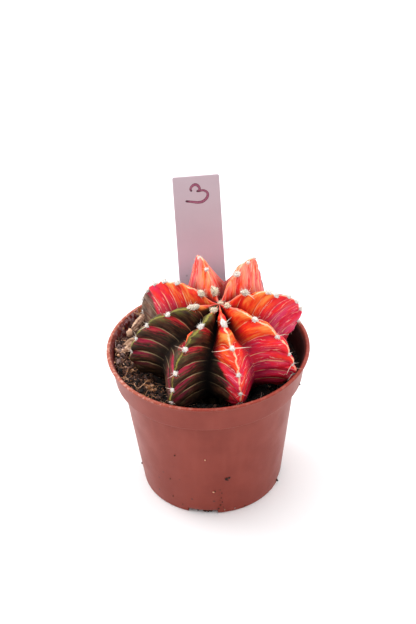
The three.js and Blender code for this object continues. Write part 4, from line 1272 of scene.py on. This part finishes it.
def makeCrumbs(material):
    # Roughened little balls, each with a place, a size and a tone: loose on the soil, heaped into
    # clods, stuck to the wall, and on the pot's ledge; and rounder, smoother ones for the stones
    random = np.random.default_rng(soil["seed"])
    places = openPlaces(soil["crumbs"], random, 0.5, 0.5)
    count = len(places)
    size = 0.16 + 0.62 * random.random(count) ** 2.3
    places[:, 2] += size * 0.2
    # more brown and pale crumbs on the heaped side, more dark ones elsewhere: partly the soil's own,
    # partly painted shade
    left = heapShare(places[:, 0], places[:, 1])
    chance = random.random(count)
    dark, brown = 0.08 * random.random(count), 0.2 + 0.2 * random.random(count)
    tone = np.where(chance < between(0.93, 0.42, left), dark, brown)
    tone = np.where(chance > between(0.985, 0.9, left), 0.42 + 0.46 * random.random(count), tone)
    # clods
    clods = np.repeat(np.array(soil["clods"]), soil["bitsPerClod"], 0)
    count = len(clods)
    bits = clods[:, :3] + clods[:, 3:4] * random.normal(size=(count, 3)) * [0.5, 0.5, 0.3]
    bits[:, 2] = soilHeight(bits[:, 0], bits[:, 1]) + np.abs(bits[:, 2]) * 0.75
    drawIn(bits, 0.5)
    places = np.vstack([places, bits])
    size = np.append(size, 0.14 + 0.3 * random.random(count) ** 1.5)
    tone = np.append(tone, clods[:, 4] + 0.26 * random.random(count))
    # painted shade along the front wall
    tone *= 1 - 0.75 * frontShadeShare(places[:, 0], places[:, 1])
    # stuck to the wall
    count = soil["stuck"]
    way = np.radians(soil["towards"] + 40 * random.normal(size=count))
    lowest, over = soil["stuckHeight"]
    height = lowest + over * random.random(count)
    places = np.vstack([places, onRing(wallRadius(height) - 0.12, way, height)])
    size = np.append(size, 0.1 + 0.16 * random.random(count))
    tone = np.append(tone, 0.2 + 0.75 * random.random(count) ** 2)
    # on the ledge
    count = soil["onLedge"]
    way = np.radians(soil["towards"] + 180 + 230 * (random.random(count) - 0.5))
    nearest, over = soil["ledgeReach"]
    reach = nearest + over * random.random(count)
    places = np.vstack([places, onRing(reach, way, ledge + 0.15)])
    size = np.append(size, 0.15 + 0.35 * random.random(count) ** 2)
    tone = np.append(tone, 0.02 + 0.2 * random.random(count) ** 2)
    # their meshes, and the stones
    crumb, stone = ballTemplate(6, 3), ballTemplate(12, 7)
    scales = size[:, None] * (0.6 + 0.6 * random.random((len(size), 3)))
    points, faces = scatter(crumb, places, randomTurns(len(size), random), scales, 0.22, random, 0.25)
    x, y, height, radius, stoneTone = np.array(soil["stones"]).T
    places = triple(x, y, soilHeight(x, y) + height)
    scales = radius[:, None] * (0.8 + 0.3 * random.random((len(x), 3)))
    stones, stoneFaces = scatter(stone, places, randomTurns(len(x), random), scales, 0.06, random, 0.3)
    faces += [block + len(points) for block in stoneFaces]
    tones = np.append(np.repeat(tone, len(crumb[0])), np.repeat(stoneTone, len(stone[0])))
    makePiece("soil_crumbs", np.vstack([points, stones]), faces, material, ["soil"],
              {"tone": tones}, sharp=40)


def makeFibres(material):
    # Root and peat fibres: threads that lie on the soil, each bent by the square of u; every eighth
    # is a thick, curly and pale one
    random = np.random.default_rng(soil["seed"] + 1)
    places = openPlaces(soil["fibres"], random, 0.6, 0.16)
    count = len(places)
    heading = random.random(count) * 2 * np.pi
    way = onRing(1.0, heading, 0.4 * random.normal(size=count))
    length = 0.9 + 3.8 * random.random(count) ** 1.6
    bold = np.arange(count) % 8 == 0
    bend = triple(random.normal(size=count), random.normal(size=count), -0.3) * 0.35
    bend *= np.where(bold, 3.2, 1)[:, None]
    steps, sides = 7, 4
    u = np.linspace(-0.5, 0.5, steps)[:, None]
    paths = places[:, None] + length[:, None, None] * (way[:, None] * u + bend[:, None] * u**2)
    low = soilHeight(paths[..., 0], paths[..., 1]) + 0.1
    paths[..., 2] = np.maximum(paths[..., 2], low) + 0.1
    drawIn(paths, 0.4)
    thick = np.where(bold, 0.11 + 0.07 * random.random(count), 0.04 + 0.08 * random.random(count) ** 2)
    thick = thick[:, None] * np.array([0.5, 0.9, 1, 1, 1, 0.8, 0.4])
    points, faces = sweep(paths, thick, thick, np.array([0.1, 0.2, 1.0]), sides)
    chance = random.random(count)
    tone = np.where(chance > 0.72, 0.6 + 0.4 * random.random(count), 0.24 + 0.2 * chance)
    tone = np.repeat(np.where(bold, 0.4 + 0.5 * chance, tone), steps * sides)
    makePiece("soil_fibres", points, faces, material, ["soil"], {"tone": tone})


def pottingSoil():
    # Damp peat: nearly black to brown, tan and grey by each crumb's own tone, which holds painted shade
    # too
    material, shader, place = finish("potting soil")
    tone = field(place, "tone")[0]
    fine = grainOn(place, 0.5)
    base = ramp(tone + (fine["Tone"] - 0.5) * 0.22, soil["colours"])
    feed(shader, {"Base Color": base, "Roughness": fade(fine["Tone"], -3.0, 1.2),
                  "Normal": relief(fine["Height"], 0.2, 0.9)})
    return material


driedFlower = {
    # each strip: its line of x, y and height, its half widths along that line, half thickness,
    # warmth from grey-tan to orange-tan, and the way it faces
    "strips": [
        ([(-16.9, 15.4, 43.6), (-18.2, 13.7, 42.9), (-19.4, 12.3, 42.3), (-20.5, 11.1, 41.6),
          (-20.7, 10.9, 41.4)],
         (0.7, 1.3, 1.3, 1.1, 0.7), 0.42, 0.05, (0.5, -0.25, 1)),
        ([(-19.8, 7.9, 40.6), (-21.3, 5.6, 41.5), (-23.1, 3.6, 42.0)],
         (1.1, 1.0, 0.15), 0.14, 0.3, (0.2, -0.8, 1)),
        ([(-19.9, 5.0, 40.6), (-21.8, 2.4, 41.7), (-23.9, 0.2, 42.1)],
         (1.1, 1.1, 0.2), 0.14, 0.25, (0.1, -0.8, 1)),
        ([(-25.1, 2.2, 42.3), (-24.4, 1.2, 42.0), (-23.5, 1.3, 42.0), (-22.4, 0.2, 41.7)],
         (0.15, 0.34, 0.3, 0.12), 0.16, 0.3, (0, -0.7, 1)),
        ([(-18.9, 16.4, 45.4), (-18.7, 16.8, 43.9), (-18.1, 17.1, 42.3)],
         (0.2, 0.6, 0.35), 0.09, 1.0, (0.5, -1, 0.4)),
        ([(-17.9, 16.2, 45.6), (-17.8, 16.5, 44.2), (-17.5, 16.6, 42.6)],
         (0.2, 0.5, 0.35), 0.09, 0.9, (0.2, -1, 0.4)),
        ([(-20.3, 15.6, 44.2), (-19.2, 16.2, 43.2), (-18.0, 16.2, 42.4)],
         (0.1, 0.3, 0.3), 0.09, 0.5, (0.5, -1, 0.8))],
    # fleshy: strips with a greater half thickness than that are darker
    "rows": 70, "columns": 36, "folds": 0.24, "fleshy": 0.3, "endShare": 0.07,
    "colours": [(0.1, (92, 62, 48)), (0.42, (170, 128, 106)), (0.8, (238, 204, 174))],
    "warmColour": (204, 130, 62),
}


def crumpledStrip(places, halfWidths, halfThickness, warmth, facing, seed):
    # A flattened tube along its line, closed at both ends: across it the cosine and sine of the angle,
    # drawn in by pleats that run lengthwise and by noise; its tone holds a painted highlight near one
    # edge and a weaker one near the other
    line = lineThrough(places)
    u = np.linspace(0, 1, driedFlower["rows"])
    centre = pointAt(line, u)
    along = unit(np.gradient(centre, axis=0))
    across = unit(np.cross(along, unit(np.array(facing, float))))
    up = np.cross(across, along)
    fromEnd = np.minimum(u / driedFlower["endShare"], (1 - u) / driedFlower["endShare"])
    ends = np.sqrt(np.clip(fromEnd, 0.002, 1))
    wide = (np.interp(u, np.linspace(0, 1, len(halfWidths)), halfWidths) * ends)[:, None]
    deep = (halfThickness * ends)[:, None]
    angle = 2 * np.pi * np.arange(driedFlower["columns"]) / driedFlower["columns"]
    u = u[:, None]
    where = triple(u * 16, np.cos(angle) * 1.5, np.sin(angle) * 1.5)
    crumple = softNoise(where, 1.0, seed) + 0.5 * softNoise(where, 0.45, seed + 1)
    pleats = np.sin(7 * angle + 4 * u) + 0.6 * np.sin(11 * angle - 5 * u)
    factor = 1 - driedFlower["folds"] * (0.5 + 0.35 * pleats + 0.6 * crumple)
    x = (wide * np.cos(angle) * factor)[..., None]
    curl = 0.3 * wide * np.cos(angle) ** 2 * np.sin(5 * u + seed)
    y = (deep * np.sin(angle) * factor + curl)[..., None]
    points = centre[:, None] + across[:, None] * x + up[:, None] * y
    # painted highlights: one near one edge of the strip and a weaker one near the other
    light = np.exp(-(((angle - 0.55) / 0.3) ** 2)) + 0.6 * np.exp(-(((angle - 2.7) / 0.25) ** 2))
    base = 0.2 if halfThickness > driedFlower["fleshy"] else 0.5
    tone = base + 0.16 * pleats + 0.25 * crumple + 0.6 * light
    return points.reshape(-1, 3), triple(tone, warmth, 0).reshape(-1, 3)


def makeDriedFlower(material):
    # All the strips one after another in one mesh, each with a flat face at both ends
    rows, columns = driedFlower["rows"], driedFlower["columns"]
    ring = np.arange(columns)
    ends = np.stack([ring, (ring + (rows - 1) * columns)[::-1]])
    made = [crumpledStrip(*strip, 9 + 2 * k) for k, strip in enumerate(driedFlower["strips"])]
    starts = rows * columns * np.arange(len(made))
    blocks = [gridFaces(rows, columns), ends]
    faces = [np.concatenate([block + start for start in starts]) for block in blocks]
    points, tones = (np.concatenate(column) for column in zip(*made))
    makePiece("dried_flower_husk", points, faces, material, ["dried_flower"],
              {"tone": tones})


def driedPetal():
    # Papery: brown in the folds, cream on the ridges and in painted highlights near the edges,
    # and as warm as each strip is
    material, shader, place = finish("dried petal")
    tone, warmth, rest = field(place, "tone")
    fine = grainOn(place, 0.8)
    base = ramp(tone * 0.75 + fine["Tone"] * 0.3, driedFlower["colours"])
    base = mixed(warmth * 0.6, base, driedFlower["warmColour"])
    feed(shader, {"Base Color": base, "Roughness": fade(fine["Tone"], -2.0, 1.4),
                  "Normal": relief(fine["Height"], 0.1, 0.7)})
    return material


label = {
    "width": 13.0, "thickness": 0.6, "above": 34.8, "below": 35.2, "point": 9.0, "corner": 0.5,
    "edge": 0.1, "roughness": 0.36, "x": -0.7, "y": 23.0, "back": 18, "left": 1.6, "turn": 3.6,
    # half width and half thickness of the ink
    "ink": 0.37, "inkHeight": 0.05,
    "colour": (196, 176, 184), "footColour": (204, 172, 182), "otherColour": (188, 166, 176),
    "paleColour": (218, 199, 214), "scratchColour": (226, 208, 214), "mudColour": (62, 44, 36),
    "inkColours": [(164, 96, 120), (140, 70, 96)], "inkEdge": (112, 34, 62), "inkEnd": (62, 6, 30),
    # the written numeral in two strokes, across and up the label
    "strokes": [[(-1.29, 30.54), (-1.66, 31.05), (-1.4, 31.76), (-0.7, 32.3), (0.06, 32.29),
                 (0.69, 31.67), (0.83, 30.93), (0.37, 30.53), (-0.1, 30.5)],
                [(-0.1, 30.5), (0.77, 30.5), (1.57, 30.63), (2.35, 30.4), (2.97, 29.7), (2.92, 28.81),
                 (2.28, 27.97), (1.36, 27.42), (0.08, 27.3), (-1.33, 27.56), (-2.59, 27.79),
                 (-3.3, 27.9)]],
}


def labelPlace(u, w, v):
    # From across, through and up the label to the pot's frame: turned, leant left, leant back
    turn = turned(0, -label["back"]) @ turned(1, -label["left"]) @ turned(2, label["turn"])
    return triple(u, w, v) @ turn.T + [label["x"], label["y"], potHeight]


def makeLabel(material):
    # A rounded-edge rectangle carried up the label, narrowed to a point below and rounded on top
    top, foot, half = label["above"], -label["below"], label["width"] / 2
    corner, edge = label["corner"], label["edge"]
    v = np.concatenate([np.linspace(foot, foot + label["point"], 18),
                        np.linspace(foot + label["point"], top - corner, 60)[1:],
                        top - corner + corner * np.sin(np.linspace(0, np.pi / 2, 12))[1:]])
    over = np.clip((v - top + corner) / corner, 0, 1)
    width = np.minimum(half, half * (v - foot) / label["point"] + 0.06)
    width = (width - corner * (1 - np.sqrt(1 - over**2)) * 0.999)[:, None]
    depth = label["thickness"] / 2 - edge * (1 - np.sqrt(np.clip((top - v) / edge, 0, 1)))
    quarter = np.linspace(0, np.pi / 2, 5)
    bend = np.tile(np.append(quarter, quarter[::-1]), 2)
    right, front = np.repeat([[1, 1], [-1, 1], [-1, -1], [1, -1]], len(quarter), axis=0).T
    u = width * right + np.minimum(edge, width) * right * (np.cos(bend) - 1)
    w = depth[:, None] * front + edge * front * (np.sin(bend) - 1)
    flat = triple(u, w, v[:, None]).reshape(-1, 3)
    ring = np.arange(len(bend))
    ends = np.stack([ring[::-1], ring + (len(v) - 1) * len(bend)])
    faces = [gridFaces(len(v), len(bend))[:, ::-1], ends]
    makePiece("label_strip", labelPlace(*flat.T), faces, material, ["label"],
              {"labelPlace": flat}, sharp=50)


def makeNumeral(material):
    # Flat ribbons of ink along the strokes of the numeral, on the label's front
    steps, sides = 60, 12
    u = np.linspace(0, 1, steps)
    lines = np.array([pointAt(lineThrough(stroke), u) for stroke in label["strokes"]])
    paths = labelPlace(lines[..., 0], -label["thickness"] / 2 - 0.01, lines[..., 1])
    ends = np.sqrt(np.clip(np.minimum(u, 1 - u) / 0.03, 0.05, 1))
    width = np.tile(label["ink"] * (0.95 - 0.12 * np.sin(7 * u + 1)) * ends, (len(lines), 1))
    normal = labelPlace(0, -1, 0) - labelPlace(0, 0, 0)
    points, faces = sweep(paths, width, np.full(width.shape, label["inkHeight"]), normal, sides)
    side = np.abs(np.cos(2 * np.pi * np.arange(sides) / sides))
    marks = np.tile(triple(u[:, None], side, 0).reshape(-1, 3), (len(lines), 1))
    makePiece("label_numeral", points, faces, material, fields={"stroke": marks})


def labelPlastic():
    # Pale lilac plastic, slightly uneven, scratched lengthwise, muddy near the soil
    material, shader, place = finish("label plastic")
    u, w, v = field(place, "labelPlace")
    slow = grainOn(place, 7.0)
    fine = grainOn(place, 0.6)
    base = mixed(fade(v, 34.0, 2.0), label["colour"], label["footColour"])
    base = mixed(slow["Tone"] * 0.3, base, label["otherColour"])
    # painted light: paler towards the foot, where the label's lower part lies in shade
    base = mixed(fade(v, 25.0, 6.0), base, label["paleColour"])
    scratch = noise(joined(u * 3.0, v * 0.25, 0.0), 1.0, 4.0, 0.7)
    base = mixed(fade(scratch, 0.62, 0.75) * 0.3, base, label["scratchColour"])
    mud = fade(v, 1.0, -6.0) * fade(noise(place, 600.0, 4.0, 0.7), 0.35, 0.6)
    mud = calc("MAXIMUM", mud, specksOn(place, 1.3, 0.12) * fade(v, 14.0, -4.0))
    base = mixed(mud * 0.85, base, label["mudColour"])
    rough = slow["Tone"] * 0.12 + label["roughness"] + mud * 0.4
    feed(shader, {"Base Color": base, "Roughness": rough,
                  "Normal": relief(fine["Height"] + scratch, 0.03, 0.35)})
    return material


def ink():
    # Marker ink, darker at the stroke's edges and ends
    material, shader, place = finish("numeral ink")
    run, side, rest = field(place, "stroke")
    fine = grainOn(place, 0.4)
    middle = mixed(fine["Tone"], *label["inkColours"])
    base = mixed(fade(side, 0.3, 0.9), middle, label["inkEdge"])
    ends = calc("MAXIMUM", fade(run, 0.16, 0.02), fade(run, 0.86, 0.98))
    base = mixed(ends * 0.85, base, label["inkEnd"])
    feed(shader, {"Base Color": base, "Roughness": fade(fine["Tone"], -1.5, 2.5),
                  "Normal": relief(fine["Height"], 0.02, 0.4)})
    return material


soilLook = pottingSoil()
makePot(potPlastic())
makeSpecks(soilLook)
makeSoil(soilLook)
makeCrumbs(soilLook)
makeFibres(soilLook)
makeBody(cactusSkin())
makeWool(wool())
makeSpines(spineHorn())
makeLabel(labelPlastic())
makeNumeral(ink())
makeDriedFlower(driedPetal())

studio = {
    # in metres and watts, but for the camera's distance
    "floorSize": 4.0, "floorColour": (250, 250, 251), "otherFloorColour": (253, 253, 253),
    # brightness of the surroundings: in front, at the sides and behind, and what the top adds
    "front": 0.48, "round": 1.3, "top": 0.6,
    "key": {"at": (-0.75, 0.42, 1.0), "size": 0.75, "power": 5.2},
    # the camera: how far it looks down, rolls and looks up again, its distance, and its lens
    "tilt": 37.18, "roll": 2.15, "nudge": 1.224, "distance": 422.0, "lens": 90.17,
}


def makeFloor():
    # A level square just under the pot
    half = studio["floorSize"] / 2
    corners = [(-half, -half, 0), (half, -half, 0), (half, half, 0), (-half, half, 0)]
    mesh = bpy.data.meshes.new("floor")
    mesh.from_pydata(corners, [], [(0, 1, 2, 3)])
    floor = bpy.data.objects.new("floor", mesh)
    bpy.context.scene.collection.objects.link(floor)
    floor.location.z = -0.02 * mm
    material, shader, place = finish("pale floor")
    tone = mixed(grainOn(place, 40.0)["Tone"] * 0.1, studio["floorColour"], studio["otherFloorColour"])
    feed(shader, {"Base Color": tone, "Roughness": 0.9})
    mesh.materials.append(material)


def makeLight():
    # Pale surroundings, dimmer towards the front and brighter above, and one big soft lamp
    world = bpy.data.worlds.new("studio")
    world.use_nodes = True
    tree = world.node_tree
    x, y, z = parts(Wire(put("TexCoord", {}, tree), "Generated"))
    level = fade(y, -0.8, 0.2) * (studio["round"] - studio["front"]) + studio["front"]
    level = fade(z, 0.2, 0.9) * studio["top"] + level
    seen = Wire(put("LightPath", {}, tree), "Is Camera Ray")
    feed(tree.nodes["Background"], {"Strength": calc("MAXIMUM", level, seen), "Color": (1, 1, 1, 1)})
    bpy.context.scene.world = world
    key = studio["key"]
    light = bpy.data.lights.new("key", "AREA")
    light.shape = "DISK"
    light.size = key["size"]
    light.energy = key["power"]
    lamp = bpy.data.objects.new("key", light)
    bpy.context.scene.collection.objects.link(lamp)
    away = unit(np.array(key["at"]))
    side = unit(np.cross([0, 0, 1], away))
    lamp.matrix_world = Matrix(np.column_stack([side, np.cross(away, side), away]).tolist()).to_4x4()
    lamp.location = key["at"]


def makeCamera():
    # Looks down at the rim's middle, rolled a little, then nudged down the picture
    tilt, roll, nudge = np.radians([studio["tilt"], studio["roll"], studio["nudge"]])
    forward = np.array([0, np.cos(tilt), -np.sin(tilt)])
    up = np.array([0, np.sin(tilt), np.cos(tilt)])
    right = np.array([1.0, 0, 0])
    across = np.cos(roll) * right - np.sin(roll) * up
    upright = np.sin(roll) * right + np.cos(roll) * up
    top = np.cos(nudge) * upright - np.sin(nudge) * forward
    look = np.sin(nudge) * upright + np.cos(nudge) * forward
    camera = bpy.data.objects.new("camera", bpy.data.cameras.new("camera"))
    bpy.context.scene.collection.objects.link(camera)
    camera.matrix_world = Matrix(np.column_stack([across, top, -look]).tolist()).to_4x4()
    camera.location = (np.array([0, 0, potHeight]) - forward * studio["distance"]) * mm
    camera.data.lens = studio["lens"]
    camera.data.sensor_width = 36
    camera.data.clip_start = 0.01
    bpy.context.scene.camera = camera


makeFloor()
makeLight()
makeCamera()
bpy.context.scene.view_settings.view_transform = "Standard"
print("studio ready")
